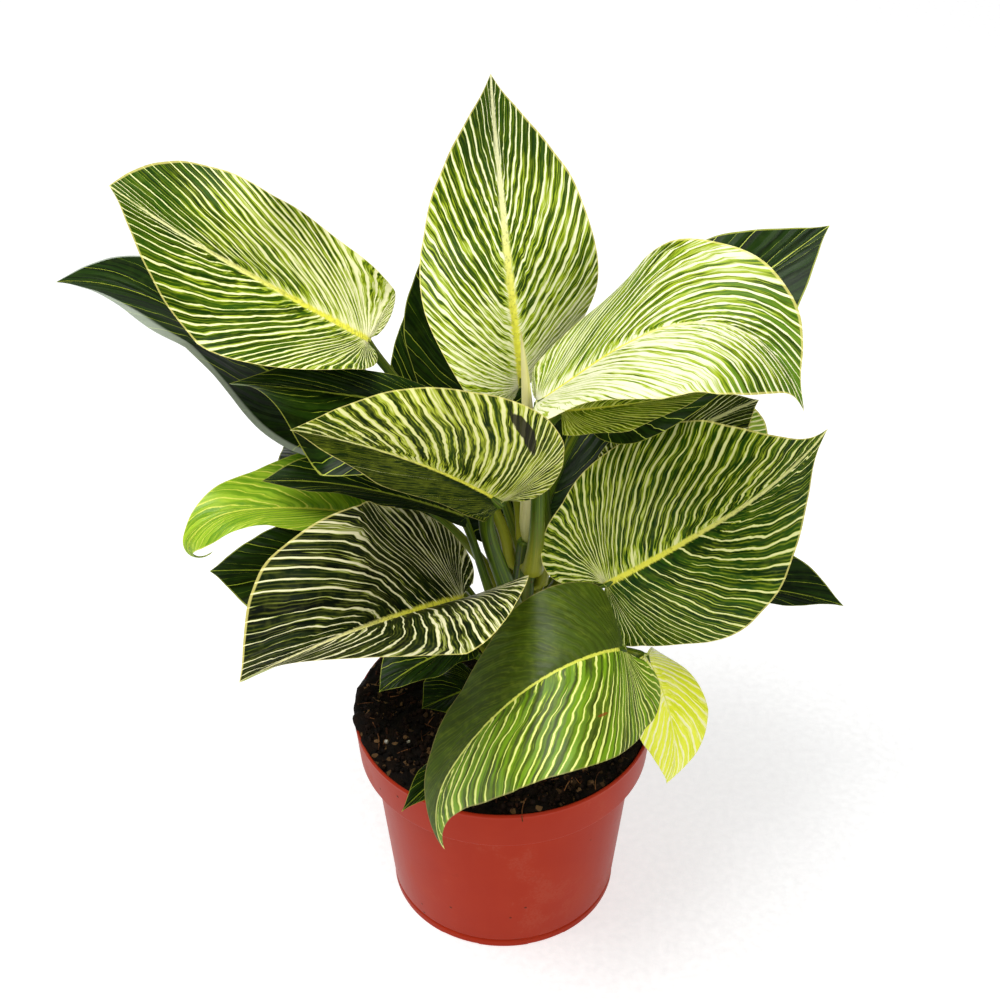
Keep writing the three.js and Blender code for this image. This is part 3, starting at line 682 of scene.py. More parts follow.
def makeSweepTree(name, resolution, shape, inputs):
    # a tube swept along a path; its profile is a circle that shape(tree, run, place) gives its form
    inputs = {"Path": "geometry", **inputs, "Skin": "material"}
    tree = newGroup(name, "GeometryNodeTree", inputs, {"Tube": "geometry"})
    path = tree.get("GeometryNodeMeshToCurve", {"Mesh": tree.given["Path"]})
    facing = {"Curve": path, "Normal": tree.read("stalkUp")}
    path = tree.get("GeometryNodeSetCurveNormal", facing, mode="FREE")
    run = tree.get("GeometryNodeSplineParameter")
    path = tree.store(path, "stalkRun", run, "FLOAT", "POINT")
    circle = tree.get("GeometryNodeCurvePrimitiveCircle", {"Resolution": resolution, "Radius": 1.0})
    profile = tree.place(circle, Position=shape(tree, run, tree.get("GeometryNodeInputPosition")))
    profile = tree.store(profile, "stalkRound", run, "FLOAT", "POINT")
    radius = tree.read("stalkRadius", "FLOAT")
    sweep = {"Curve": path, "Profile Curve": profile, "Scale": radius, "Fill Caps": True}
    tree.give("Tube", tree.finish(tree.get("GeometryNodeCurveToMesh", sweep), tree.given["Skin"]))
    return tree


def channelled(tree, run, place):
    # rounded below and shallowly channelled above
    x, y = tree.split(place)[:2]
    return tree.vector(x - tree.ramp(x, 0.3, 1.0) * tree.given["Channel"], y)


def tone(red, green, blue):
    # a colour as it looks on screen, 0 to 255, in linear terms
    channels = (channel / 255 for channel in (red, green, blue))
    return tuple(c / 12.92 if c < 0.04045 else ((c + 0.055) / 1.055) ** 2.4 for c in channels) + (1.0,)


# How the stripes of every blade are drawn. Distances along a vein are shares of it, and the pitch
# of a pattern is a pair: across the lines and along them.
stripes = {
    "waver": 0.045,
    "waverPitch": (5.0, 3.2),
    "sharpness": 6.0,
    "strength": (0.55, 1.3),
    "hairs": 3.0,
    "hairSharpness": 2.5,
    "hairJitter": 0.6,
    "jitterPitch": (0.7, 1.5),
    "dashPitch": (4.0, 7.0),
    "streaks": ((0.6, 2.2, 2.2, 0.0), (0.7, 5.0, 5.5, 5.0), (0.5, 9.0, 11.0, 11.0)),
    "patchPitch": (2.5, 0.9),
    "swellPitch": (0.45, 1.2),
    "shadePitch": (2.0, 1.5),
    "fleckPitch": (60.0, 8.0),
    "bruisePitch": (50.0, 12.0),
    "bruiseLean": 0.27,
    "kneeCream": 0.4,
    "creamWidth": 0.22,
    "halo": 0.85,
    "mottleScale": 260.0,
    "rightSeed": 17.0,
}


def makeLeafPattern():
    # a blade's colours laid along its veins: cream and green pinstripes, rib and margin
    group = newGroup("leafPattern", "ShaderNodeTree", {
        "Seed": 0.0, "Left Cream": 0.5, "Right Cream": 0.5, "Base Cream": 0.3, "Tip Green": 0.6,
        "Left Shade": 0.0, "Right Shade": 0.0, "Margin Cream": 0.0, "Rib Cream": 0.15, "Patchiness": 0.3,
        "Veins": 37.0, "Vein Weight": 1.0, "Thread Weight": 0.4, "Streak Weight": 0.9, "Softness": 0.05,
        "Rib Width": 0.3, "Edge Width": 0.008, "Left Edge Highlight": 0.0, "Dullness": 0.34, "Wash": 0.0,
        "Bruising": 0.0, "Bruise Along": 0.0, "Bruise Out": 0.0, "Bruise Width": 0.02,
        "Bruise Length": 0.02, "Dark": tone(30, 50, 22), "Light": tone(92, 126, 52),
        "Halo": tone(178, 190, 104), "Cream": tone(240, 237, 208), "Rib": tone(220, 216, 130),
        "Edge": tone(232, 222, 170), "Under": tone(190, 200, 150), "Bruise": tone(40, 36, 24),
    }, {"Colour": "colour", "Roughness": "value", "Height": "value"})
    given, ramp, blend = group.given, group.ramp, group.blend
    along, out = group.split(group.get("ShaderNodeUVMap", uv_map="leafUv"))[:2]
    place, fromRib = group.split(group.get("ShaderNodeUVMap", uv_map="leafRun"))[:2]
    isRight = group.calc("GREATER_THAN", along, 1.5)
    vein = along - 2.0 * isRight
    seed = given["Seed"] + stripes["rightSeed"] * isRight

    def noiseOf(across, pitch, shift, **kind):
        # noise drawn out along the veins, different for each shift
        return group.grain(group.vector(across * pitch[0], out * pitch[1], seed + shift), **kind)

    # lines: where each runs, how wide it is, and which of them end before they reach the rib
    waver = noiseOf(vein, stripes["waverPitch"], 0.0, detail=3.0) - 0.5
    even = 0.4 * vein + 0.6 * vein * vein * (3.0 - 2.0 * vein)
    line = (even + waver * stripes["waver"]) * given["Veins"]
    quilt = group.calc("PINGPONG", line, 0.5)
    number = group.calc("FLOOR", line + 0.5)
    strength = group.get("ShaderNodeTexWhiteNoise", {"Vector": group.vector(number, seed)}, "Value")
    least, spread = stripes["strength"]
    ridge = group.calc("POWER", 1.0 - 2.0 * quilt, stripes["sharpness"]) * (least + spread * strength)
    half = group.calc("PINGPONG", number, 1.0)
    quarter = group.calc("MAXIMUM", group.calc("PINGPONG", number, 2.0) - 1.0, 0.0)
    ridge = ridge * (1.0 - half * ramp(out, 0.42, 0.12))
    ridge = ridge * (1.0 - quarter * ramp(out, 0.24, 0.05) * ramp(vein, 0.5, 0.3))

    # hairlines between the lines, broken into dashes, and streaks that fray the lines
    jitter = noiseOf(line, stripes["jitterPitch"], 23.0) - 0.5
    thread = group.calc("PINGPONG", (line + jitter * stripes["hairJitter"]) * stripes["hairs"], 0.5)
    dash = ramp(noiseOf(line, stripes["dashPitch"], 29.0), 0.36, 0.62)
    hair = group.calc("POWER", 1.0 - 2.0 * thread, stripes["hairSharpness"]) * dash * ramp(out, 0.08, 0.35)
    streaks = 0.0
    for weight, pitch, stretch, shift in stripes["streaks"]:
        streaks = streaks + (noiseOf(line, (pitch, stretch), shift) - 0.5) * weight

    # cream: more of it by the knee, the rib and the margin, less towards the tip
    patch = noiseOf(vein, stripes["patchPitch"], 31.0) - 0.5
    swell = noiseOf(line, stripes["swellPitch"], 41.0) - 0.5
    share = group.mix(isRight, given["Left Cream"], given["Right Cream"]) - 0.6
    share = share + given["Base Cream"] * ramp(place, 0.45, 0.05)
    share = share - given["Tip Green"] * ramp(place, 0.6, 0.95)
    share = share + given["Margin Cream"] * ramp(out, 0.84, 1.0)
    share = share + given["Rib Cream"] * ramp(out, 0.2, 0.0)
    share = share + stripes["kneeCream"] * ramp(out, 0.34, 0.06) * ramp(vein, 0.5, 0.2)
    level = given["Vein Weight"] * ridge + given["Streak Weight"] * streaks
    level = level + share + given["Patchiness"] * (patch + 1.2 * swell)
    creamMask = ramp(level, given["Softness"] * -0.5, stripes["creamWidth"])
    haloMask = ramp(level, given["Softness"] * -3.0, 0.0)
    haloMask = group.calc("MAXIMUM", haloMask, given["Thread Weight"] * hair)

    # colours: green, a yellow-green halo on it, then cream, the rib and the margin's rim
    shade = noiseOf(line, stripes["shadePitch"], 3.0, detail=2.0)
    green = blend(ramp(shade, 0.35, 0.65), given["Dark"], given["Light"])
    # either half darkened towards Dark: painted shade on centre_left's lower half and on mid_left, which
    # lie in shadow; on front, the plain half's own olive
    green = blend(group.mix(isRight, given["Left Shade"], given["Right Shade"]), green, given["Dark"])
    colour = blend(haloMask * stripes["halo"], green, given["Halo"])
    colour = blend(creamMask, colour, given["Cream"])
    fleck = noiseOf(place, stripes["fleckPitch"], 7.0, detail=3.0, roughness=0.7)
    ribWidth = given["Rib Width"] * (1.05 - 0.85 * place)
    ribMask = ramp(fromRib / ribWidth + streaks * 0.8, 0.8, 0.35)
    ribColour = blend(ramp(place, 0.2, 0.75) * 0.8, given["Rib"], given["Cream"])
    ribColour = blend(ramp(fleck, 0.52, 0.64) * 0.35, ribColour, given["Light"])
    colour = blend(ribMask, colour, ribColour)
    # on the left half the rim can widen into a painted highlight where a turned margin catches the light
    edge = given["Edge Width"] + given["Left Edge Highlight"] * (1.0 - isRight) * ramp(place, 0.9, 0.55)
    colour = blend(ramp(out, 1.0 - 1.6 * edge, 1.0 - edge) * 0.6, colour, given["Edge"])
    mottle = group.grain(group.get("ShaderNodeTexCoord", key="Object"), stripes["mottleScale"], 3.0)
    colour = blend((mottle - 0.5) * 0.4, colour, given["Halo"])

    # a bruise is an oval with a ragged rim that leans along the veins
    offOut = out - given["Bruise Out"]
    aside = (along - given["Bruise Along"] - stripes["bruiseLean"] * offOut) / given["Bruise Width"]
    onward = offOut / given["Bruise Length"]
    ragged = noiseOf(along, stripes["bruisePitch"], 53.0, detail=3.0) - 0.5
    bruised = ramp(aside * aside + onward * onward + 1.3 * ragged, 1.1, 0.75) * given["Bruising"]
    colour = blend(bruised, colour, given["Bruise"])
    group.give("Colour", blend(given["Wash"], colour, given["Under"]))
    group.give("Roughness", given["Dullness"] + 0.07 * creamMask + 0.16 * (mottle - 0.5))
    group.give("Height", 0.5 + 0.1 * streaks + quilt * 0.9 + 0.08 * mottle)
    return group


def finishSurface(name, build, depth, shine=0.5, coat=0.0, coatDullness=0.3):
    # a Principled surface whose colour, roughness and height come from build(graph)
    material = bpy.data.materials.new(name)
    material.use_nodes = True
    graph = Graph(material.node_tree)
    graph.tree.nodes.clear()
    colour, roughness, height = build(graph)
    bump = graph.get("ShaderNodeBump", {"Height": height, "Strength": 1.0, "Distance": depth})
    shader = graph.get("ShaderNodeBsdfPrincipled", {
        "Base Color": colour, "Roughness": roughness, "Normal": bump, "Specular IOR Level": shine,
        "Coat Weight": coat, "Coat Roughness": coatDullness,
    })
    graph.add("ShaderNodeOutputMaterial", {"Surface": shader})
    return material


def groupSurface(name, group, values, depth, **gloss):
    # a surface whose look is a shader group's, with its own values
    def build(graph):
        node = placeGroup(graph, group, values)
        return [graph.out(node, key) for key in ("Colour", "Roughness", "Height")]
    return finishSurface(name, build, depth, **gloss)


# What each kind of blade looks like: colours from 0 to 255, and shares of cream.
looks = {
    "striped": {
        "Dark": (24, 50, 2), "Light": (58, 96, 6), "Halo": (176, 196, 40), "Cream": (244, 242, 186),
        "Rib": (232, 228, 80), "Edge": (238, 226, 130), "Under": (186, 196, 110),
        "Left Cream": 0.4, "Right Cream": 0.4, "Base Cream": 0.1, "Tip Green": 0.3,
        "gloss": 0.01, "shine": 0.08,
    },
    "dark": {
        "Dark": (10, 26, 2), "Light": (28, 52, 6), "Halo": (84, 108, 20), "Cream": (176, 190, 60),
        "Rib": (160, 172, 60), "Edge": (190, 196, 80), "Under": (104, 124, 60), "Left Cream": -0.4,
        "Right Cream": -0.4, "Base Cream": 0.1, "Tip Green": 0.1, "Rib Width": 0.12,
        "Veins": 22, "Thread Weight": 0.12, "gloss": 0.03, "shine": 0.1,
    },
    "olive": {
        "Dark": (44, 76, 4), "Light": (84, 116, 8), "Halo": (166, 188, 40), "Cream": (230, 230, 110),
        "Rib": (214, 216, 80), "Edge": (140, 128, 70), "Under": (140, 156, 70), "Thread Weight": 0.15,
        "Left Cream": 0.1, "Right Cream": -1.6, "Base Cream": 0.1, "Tip Green": 0, "Dullness": 0.46,
        "gloss": 0.06, "shine": 0.24,
    },
    "lime": {
        "Dark": (110, 150, 14), "Light": (160, 190, 30), "Halo": (200, 212, 60), "Cream": (226, 230, 120),
        "Rib": (222, 226, 80), "Edge": (214, 214, 90), "Under": (190, 204, 100),
        "Left Cream": 0, "Right Cream": 0, "Base Cream": 0.1, "Tip Green": 0,
        "gloss": 0.08, "shine": 0.2,
    },
}


def leafMaterials(leaf, pattern, seed):
    # a blade's top and its paler, duller underside
    look = {"Seed": seed, **looks[leaf["look"]], **leaf["colours"]}
    gloss = look.pop("gloss")
    shine = look.pop("shine")
    values = {}
    for key, value in look.items():
        values[key] = tone(*value) if isinstance(value, tuple) else float(value)
    pair = []
    for face, wash, coat, glint in (("Top", 0.0, gloss, shine), ("Underside", 0.72, 0.01, 0.5 * shine)):
        values["Wash"] = wash
        finish = {"shine": glint, "coat": coat, "coatDullness": 0.22}
        pair.append(groupSurface(leaf["name"] + face, pattern, values, 0.4 * mm, **finish))
    return pair


def makeStalkPattern():
    # a stalk's greens: paler and yellower towards its foot, streaked and dotted along its length
    group = newGroup("stalkPattern", "ShaderNodeTree", {
        "Seed": 0.0, "Foot": tone(150, 152, 40), "Body": tone(92, 116, 16), "Shade": tone(44, 68, 8),
        "Blush": tone(110, 62, 26), "Blushing": 0.3,
    }, {"Colour": "colour", "Roughness": "value", "Height": "value"})
    given = group.given
    run = group.mark("stalkRun")
    turn = group.mark("stalkRound") * fullTurn
    x, y = (group.calc(kind, turn) for kind in ("COSINE", "SINE"))
    streak = group.grain(group.vector(x * 5.0, y * 5.0, run * 3.0 + given["Seed"]), detail=3.0)
    spot = group.grain(group.vector(x * 6.0, y * 6.0, run * 60.0 + given["Seed"]), detail=2.0)
    colour = group.blend(group.ramp(streak, 0.35, 0.7), given["Shade"], given["Body"])
    foot = group.ramp(run + 0.4 * (streak - 0.5), 0.5, 0.05)
    colour = group.blend(foot, colour, given["Foot"])
    channel = group.ramp(x, 0.75, 0.95)
    colour = group.blend(channel * 0.35, colour, given["Foot"])
    blush = group.ramp(spot, 0.6, 0.72) * given["Blushing"]
    group.give("Colour", group.blend(blush, colour, given["Blush"]))
    group.give("Roughness", 0.36 + 0.2 * (spot - 0.5))
    group.give("Height", 0.6 * streak + 0.3 * spot)
    return group


def stalkMaterial(name, pattern, **values):
    return groupSurface(name, pattern, values, 0.2 * mm, shine=0.18, coat=0.03)


earthFinish = {
    "lumpScale": 180.0, "bitScale": 520.0, "depth": 1.2 * mm, "shine": 0.15, "straw": (150, 112, 74),
}


def earthMaterial(name, dark, brown, straw=earthFinish["straw"]):
    # near black peat, with brown bark and a few pale bits
    def build(graph):
        place = graph.get("ShaderNodeTexCoord", key="Object")
        lumps = graph.grain(place, earthFinish["lumpScale"], 4.0, 0.65)
        cells = {"Vector": place, "Scale": earthFinish["bitScale"]}
        bits = graph.get("ShaderNodeTexVoronoi", cells, "Color")
        isPale = graph.ramp(graph.split(bits)[0], 0.93, 0.99)
        colour = graph.blend(graph.ramp(lumps, 0.38, 0.66), tone(*dark), tone(*brown))
        colour = graph.blend(isPale * 0.6, colour, tone(*straw))
        return colour, 0.82 + 0.15 * (lumps - 0.5), lumps
    return finishSurface(name, build, earthFinish["depth"], shine=earthFinish["shine"])


potFinish = {
    "body": (160, 41, 17), "fadedAndHighlight": (188, 68, 38), "dust": (196, 160, 138), "soiled": (70, 40, 28),
    "shine": 0.06, "cloudScale": 28.0, "powderScale": 900.0, "speckScale": 210.0, "smearScale": 75.0,
    "innerDirt": 0.35, "dirtyFrom": 88.5 * mm, "dirtyTo": 90.5 * mm, "depth": 0.2 * mm,
}


def potMaterial():
    # satin moulded plastic: faint flow streaks, sharp edges paled partly by wear and partly by a painted
    # highlight, dust on ledges and specks of peat
    def build(graph):
        place = graph.get("ShaderNodeTexCoord", key="Object")
        x, y, z = graph.split(place)
        angle = graph.calc("ARCTAN2", y, x)
        radius = graph.calc("SQRT", x * x + y * y)
        body, fadedAndHighlight, dust, soiled = (tone(*potFinish[key]) for key in ("body", "fadedAndHighlight", "dust", "soiled"))
        cloud = graph.grain(place, potFinish["cloudScale"], 4.0, 0.6)
        flow = graph.grain(graph.vector(angle * 9.0, z * 14.0, radius * 20.0), detail=3.0)
        colour = graph.blend(0.2 * graph.ramp(cloud, 0.35, 0.75) + 0.12 * flow, body, fadedAndHighlight)
        # the sharp outer edges are paler: partly rubbed wear, partly a painted highlight
        rubAndHighlight = graph.ramp(graph.get("ShaderNodeNewGeometry", key="Pointiness"), 0.52, 0.6)
        colour = graph.blend(0.5 * rubAndHighlight, colour, fadedAndHighlight)
        powder = graph.grain(place, potFinish["powderScale"], 2.0, 0.7)
        settle = graph.ramp(powder * graph.ramp(cloud, 0.4, 0.7), 0.3, 0.5)
        colour = graph.blend(0.05 * settle, colour, dust)
        specks = graph.add("ShaderNodeTexVoronoi", {"Vector": place, "Scale": potFinish["speckScale"]})
        chosen = graph.ramp(graph.split(graph.out(specks, "Color"))[1], 0.955, 0.965)
        dot = graph.ramp(graph.out(specks, "Distance"), 0.16, 0.08) * chosen
        smear = graph.ramp(graph.grain(place, potFinish["smearScale"], 3.0, 0.7), 0.62, 0.78)
        inside = graph.ramp(z, potFinish["dirtyFrom"], potFinish["dirtyTo"]) * potFinish["innerDirt"]
        dirt = graph.calc("MAXIMUM", dot * 0.85, smear * (0.12 + inside))
        colour = graph.blend(dirt, colour, soiled)
        scuff = graph.grain(graph.vector(angle * 60.0, z * 2600.0, radius * 90.0), detail=2.0)
        rough = 0.36 + 0.16 * (cloud - 0.5) + 0.3 * dirt + 0.1 * settle + 0.08 * (scuff - 0.5)
        return colour, rough, 0.5 * cloud + 0.25 * flow + 0.1 * powder + 0.4 * dot
    return finishSurface("potPlastic", build, potFinish["depth"], shine=potFinish["shine"])


spearFinish = {
    "light": (255, 250, 204), "butter": (255, 242, 140), "seam": (196, 190, 60), "foot": (188, 194, 70),
    "tip": (190, 160, 70), "depth": 0.15 * mm,
}


def spearMaterial():
    # the rolled new leaf: butter yellow, greener towards its seam and foot
    def build(graph):
        run = graph.mark("stalkRun")
        turn = graph.mark("stalkRound")
        tones = {key: tone(*spearFinish[key]) for key in ("light", "butter", "seam", "foot", "tip")}
        fibre = graph.grain(graph.vector(turn * 26.0, run * 4.0), detail=3.0)
        colour = graph.blend(fibre, tones["butter"], tones["light"])
        colour = graph.blend(0.55 * graph.ramp(turn, 0.86, 1.0), colour, tones["seam"])
        colour = graph.blend(0.6 * graph.ramp(run, 0.28, 0.0), colour, tones["foot"])
        colour = graph.blend(0.5 * graph.ramp(run, 0.93, 1.0), colour, tones["tip"])
        return colour, 0.34 + 0.12 * fibre, fibre
    return finishSurface("spearYellow", build, spearFinish["depth"], coat=0.1)


def makeBlade(leaf, tree, materials, seed):
    # a leaf's blade, grown on its rib
    places, aheads, sides, normals = zip(*ribOf(leaf))
    rib = chain(leaf["name"] + "Rib", places, ribSide=sides, ribNormal=normals)
    values = {
        "Length": leaf["length"] * mm, "Tail": float(leaf["tail"]), "Crinkle": blade["crinkle"],
        "Seed": float(seed), "Wave Count": blade["ripples"], "Upper": materials[0], "Under": materials[1],
    }
    shares = {
        "Width": (leaf["left"] * mm, leaf["right"] * mm),
        "Fold": [math.radians(angle) for angle in perHalf(leaf["fold"])],
        "Camber": [math.radians(angle) for angle in perHalf(leaf["camber"])],
        "Lobe": perHalf(leaf["lobe"]),
        "Swell": perHalf(leaf["swell"]),
        "Wave": [height * mm for height in perHalf(leaf["wave"])],
        "Wave Start": (0.13 * seed, 0.31 * seed + 0.4),
    }
    for label, pair in shares.items():
        values["Left " + label], values["Right " + label] = (float(value) for value in pair)
    return grown(leaf["name"] + "Blade", rib, tree, values)


def makeTube(name, places, radii, up, tree, values):
    # a closed tube along places, its channel or seam on the side of up
    return grown(name, chain(name + "Path", places, stalkRadius=radii, stalkUp=up), tree, values)


def makeStalk(leaf, tree, skin):
    places, radii = stalkPath(leaf)
    inward = Vector((stem["top"][0], stem["top"][1], 0)) * mm - Vector((places[-1].x, places[-1].y, 0))
    up = [(inward.normalized() + Vector((0, 0, 0.3))).normalized()] * len(places)
    values = {"Channel": stalk["channel"], "Skin": skin}
    return makeTube(leaf["name"] + "Stalk", places, radii, up, tree, values)


def makeStem(tree, skin):
    # the short stem with the rings that old leaves left
    places, radii = [], []
    for i in range(stem["steps"] + 1):
        share = i / stem["steps"]
        ring = abs(share * stem["rings"] % 1 - 0.5) * 2
        places.append(stemPlace(share))
        radii.append(stemRadius(share) * (1.0 - stem["ringDepth"] * ring ** 6))
    places.append(stemPlace(1) + Vector((0, 0, 0.3 * mm)))
    radii.append(radii[-1] * 0.6)
    front = [Vector((0, -1, 0.1))] * len(places)
    return makeTube("stem", places, radii, front, tree, {"Channel": stem["channel"], "Skin": skin})


spear = {
    "foot": (9, 0, 174), "waist": (11, -5, 225), "tip": (6, -5, 271), "radius": 3.6, "steps": 90,
    "turns": 0.4, "start": -1.2, "sides": 40, "step": 0.22,
}


def rolled(tree, run, place):
    # a radius that grows once round, so that the outer edge steps over its start
    seam = tree.ramp(run, 0.0, 0.93) * tree.ramp(run, 1.0, 0.96)
    return tree.scale(place, 1 - tree.given["Step"] * (1 - seam))


def makeSpear(tree, skin):
    # the new leaf, still rolled: its free edge winds up it as a seam
    places, radii, ups = [], [], []
    for i in range(spear["steps"] + 1):
        share = i / spear["steps"]
        places.append(bezier([Vector(spear[key]) * mm for key in ("foot", "waist", "tip")], share))
        body = min(1, share * 9) ** 0.5 * (1 - share ** 2.6) ** 0.8
        radii.append(spear["radius"] * mm * max(0.05, 0.2 * (1 - share) + 0.8 * body))
        angle = fullTurn * spear["turns"] * share + spear["start"]
        ups.append(Vector((math.sin(angle), -math.cos(angle), 0.05)))
    return makeTube("newLeafSpear", places, radii, ups, tree, {"Skin": skin})


pot = {
    "height": 91, "rimRadius": 60, "collarHeight": 18.5, "collarFootRadius": 58.4, "shoulderRadius": 53.2,
    "footRadius": 46.5, "footHeight": 3.2, "footWidth": 3, "grooveDepth": 0.7, "grooveWidth": 1.6,
    "wall": 1.3, "floorRise": 1.4, "padRadius": 9, "rounding": 0.5, "cornerRadius": 0.7, "cornerSteps": 4,
    "holeRadius": 3.4, "holeCircle": 31, "holes": 8, "notches": 8, "notchWidth": 16, "notchHeight": 0.8,
    "segments": 240, "holeSides": 32, "sharpAngle": 50,
}


def ringOf(radius, height, segments):
    # evenly spaced points round the Z axis, or one point where the radius is nothing
    if radius == 0:
        return [(0, 0, height * mm)]
    angles = [fullTurn * i / segments for i in range(segments)]
    return [(radius * mm * math.cos(a), radius * mm * math.sin(a), height * mm) for a in angles]


def ringMesh(name, rings, segments, startsUp=False):
    # a closed mesh over rings of points, whose first faces look down or up
    mesh = bmesh.new()
    loops = [[mesh.verts.new(point) for point in ring] for ring in rings]
    for low, high in zip(loops, loops[1:]):
        for i in range(segments):
            j = (i + 1) % segments
            corners = [low[i % len(low)], low[j % len(low)], high[j % len(high)], high[i % len(high)]]
            if startsUp:
                corners = corners[:1] + corners[:0:-1]
            mesh.faces.new(list(dict.fromkeys(corners)))
    bmesh.ops.recalc_face_normals(mesh, faces=mesh.faces)
    return asData(name, mesh)


def asData(name, mesh):
    data = bpy.data.meshes.new(name)
    mesh.to_mesh(data)
    mesh.free()
    return data


def rounded(profile):
    # a profile whose corners are turned with a small radius
    finished = [profile[0]]
    for before, corner, after in zip(profile, profile[1:], profile[2:]):
        a, b, c = (Vector(point) for point in (before, corner, after))
        reach = min(pot["cornerRadius"], (a - b).length * 0.45, (c - b).length * 0.45)
        start, end = b + (a - b).normalized() * reach, b + (c - b).normalized() * reach
        for i in range(pot["cornerSteps"] + 1):
            finished.append(tuple(bezier([start, b, end], i / pot["cornerSteps"])))
    return finished + [profile[-1]]


def potProfile(floorTop):
    # radii and heights from the middle of the underside, up the outside and down the inside
    height, rim, wall, soft = (pot[key] for key in ("height", "rimRadius", "wall", "rounding"))
    foot, shoulder, rise = pot["footRadius"], pot["shoulderRadius"], pot["floorRise"]
    collarFoot = height - pot["collarHeight"]
    ledge = collarFoot + 2 * wall
    middle, top = pot["footHeight"] + pot["grooveWidth"] / 2, pot["footHeight"] + pot["grooveWidth"]

    def bodyRadius(level):
        share = (level - pot["footHeight"]) / (collarFoot + wall - pot["footHeight"])
        return foot + (shoulder - foot) * max(share, 0)

    return [
        (0, 0), (pot["padRadius"], 0), (pot["padRadius"] + 2 * soft, rise), (foot - pot["footWidth"], rise),
        (foot - pot["footWidth"] + soft, 0), (foot - soft, 0), (foot, soft), (foot, pot["footHeight"]),
        (bodyRadius(middle) - pot["grooveDepth"], middle), (bodyRadius(top), top),
        (shoulder, collarFoot), (shoulder, collarFoot + wall),
        (pot["collarFootRadius"] - 2 * soft, collarFoot), (pot["collarFootRadius"], collarFoot + soft),
        (rim - soft / 2, height - 4 * soft), (rim, height - 2 * soft), (rim - wall / 2, height),
        (rim - wall, height - soft), (pot["collarFootRadius"] - wall, ledge), (shoulder - wall, ledge),
        (bodyRadius(floorTop) - wall, floorTop + 3 * soft),
        (bodyRadius(floorTop) - wall - 3 * soft, floorTop), (0, floorTop),
    ]


def makePot(skin):
    # the lathed pot with its drain holes and the notches under its foot cut out
    floorTop = pot["floorRise"] + pot["wall"]
    profile = rounded(potProfile(floorTop))
    rings = [ringOf(radius, height, pot["segments"]) for radius, height in profile]
    piece = newPiece("pot", ringMesh("pot", rings, pot["segments"]))
    cutter = bmesh.new()
    radius = pot["holeRadius"] * mm
    for i in range(pot["holes"]):
        angle = fullTurn * i / pot["holes"]
        place = Vector((math.cos(angle), math.sin(angle), 0)) * pot["holeCircle"] * mm
        place.z = floorTop / 2 * mm
        bmesh.ops.create_cone(cutter, cap_ends=True, segments=pot["holeSides"], radius1=radius,
                              radius2=radius, depth=4 * floorTop * mm, matrix=Matrix.Translation(place))
    notch = (3 * pot["footWidth"] * mm, pot["notchWidth"] * mm, 2 * pot["notchHeight"] * mm, 1)
    atFoot = Matrix.Translation((pot["footRadius"] * mm, 0, 0))
    for i in range(pot["notches"]):
        turn = Matrix.Rotation(fullTurn * (i + 0.5) / pot["notches"], 4, "Z")
        bmesh.ops.create_cube(cutter, size=1, matrix=turn @ atFoot @ Matrix.Diagonal(notch))
    tool = newPiece("potCutter", asData("potCutter", cutter))
    cut = piece.modifiers.new("cut", "BOOLEAN")
    cut.object = tool
    cut.solver = "EXACT"
    data = plainMesh(piece)
    piece.modifiers.clear()
    bpy.data.objects.remove(tool)
    piece.data = data
    data.name = piece.name
    data.materials.clear()
    data.materials.append(skin)
    data.shade_smooth()
    data.set_sharp_from_angle(angle=math.radians(pot["sharpAngle"]))
    return piece


# The peat in millimetres: its waves as height, pitches along X and Y and phase, its lip where it
# heaps over the rim as shares outwards and down, and its sides as radii and heights.
soil = {
    "top": 90, "crown": 3, "crownRadius": 45, "radius": 58.2, "rings": 90, "segments": 240,
    "waves": ((0.8, 0.21, 0.17, 1.3), (0.5, 0.47, -0.39, 0.0), (0.3, 0.13, 0.61, 2.0)),
    "lumps": 1.2, "coarsePitch": 0.22, "finePitch": 0.9, "calmEdge": 6, "settling": 0.3,
    "heap": 4.2, "heapAngle": 178, "heapWidth": 26, "heapReach": 14, "overhang": 2.4,
    "bareFrom": 57.2, "litterTo": 56, "steepest": 0.3,
    "lip": ((0.6, 0.25), (1.0, 0.5), (0.85, 0.75), (0.3, 0.9)),
    "sides": ((56.4, 75.6), (51.4, 75.4), (44.8, 5), (43.2, 3.2)),
}


def heaped(angle):
    # how much of the heap against the left of the rim is at an angle
    away = (math.degrees(angle) - soil["heapAngle"]) / soil["heapWidth"]
    rough = 0.8 + 0.5 * noise.noise(Vector((math.cos(angle), math.sin(angle), 3)) * 9)
    return math.exp(-away ** 4) * rough


def soilPoint(angle, reach):
    # a point of the peat's rough surface, which is highest in the middle
    x, y = reach * math.cos(angle), reach * math.sin(angle)
    level = soil["top"] + soil["crown"] * max(0, 1 - math.hypot(x, y) / soil["crownRadius"])
    for height, alongX, alongY, phase in soil["waves"]:
        level += height * math.sin(x * alongX + y * alongY + phase)
    fromRim = soil["radius"] - reach
    coarse = noise.fractal(Vector((x, y, 0)) * soil["coarsePitch"], 0.8, 2.0, 4)
    fine = noise.noise(Vector((x, y, 9)) * soil["finePitch"]) * 0.5
    heap = heaped(angle) * max(0, 1 - (fromRim / soil["heapReach"]) ** 2)
    level += soil["lumps"] * (coarse + fine) * max(heap, min(1, fromRim / soil["calmEdge"]))
    return Vector((x * mm, y * mm, (level + soil["heap"] * heap - soil["settling"]) * mm))


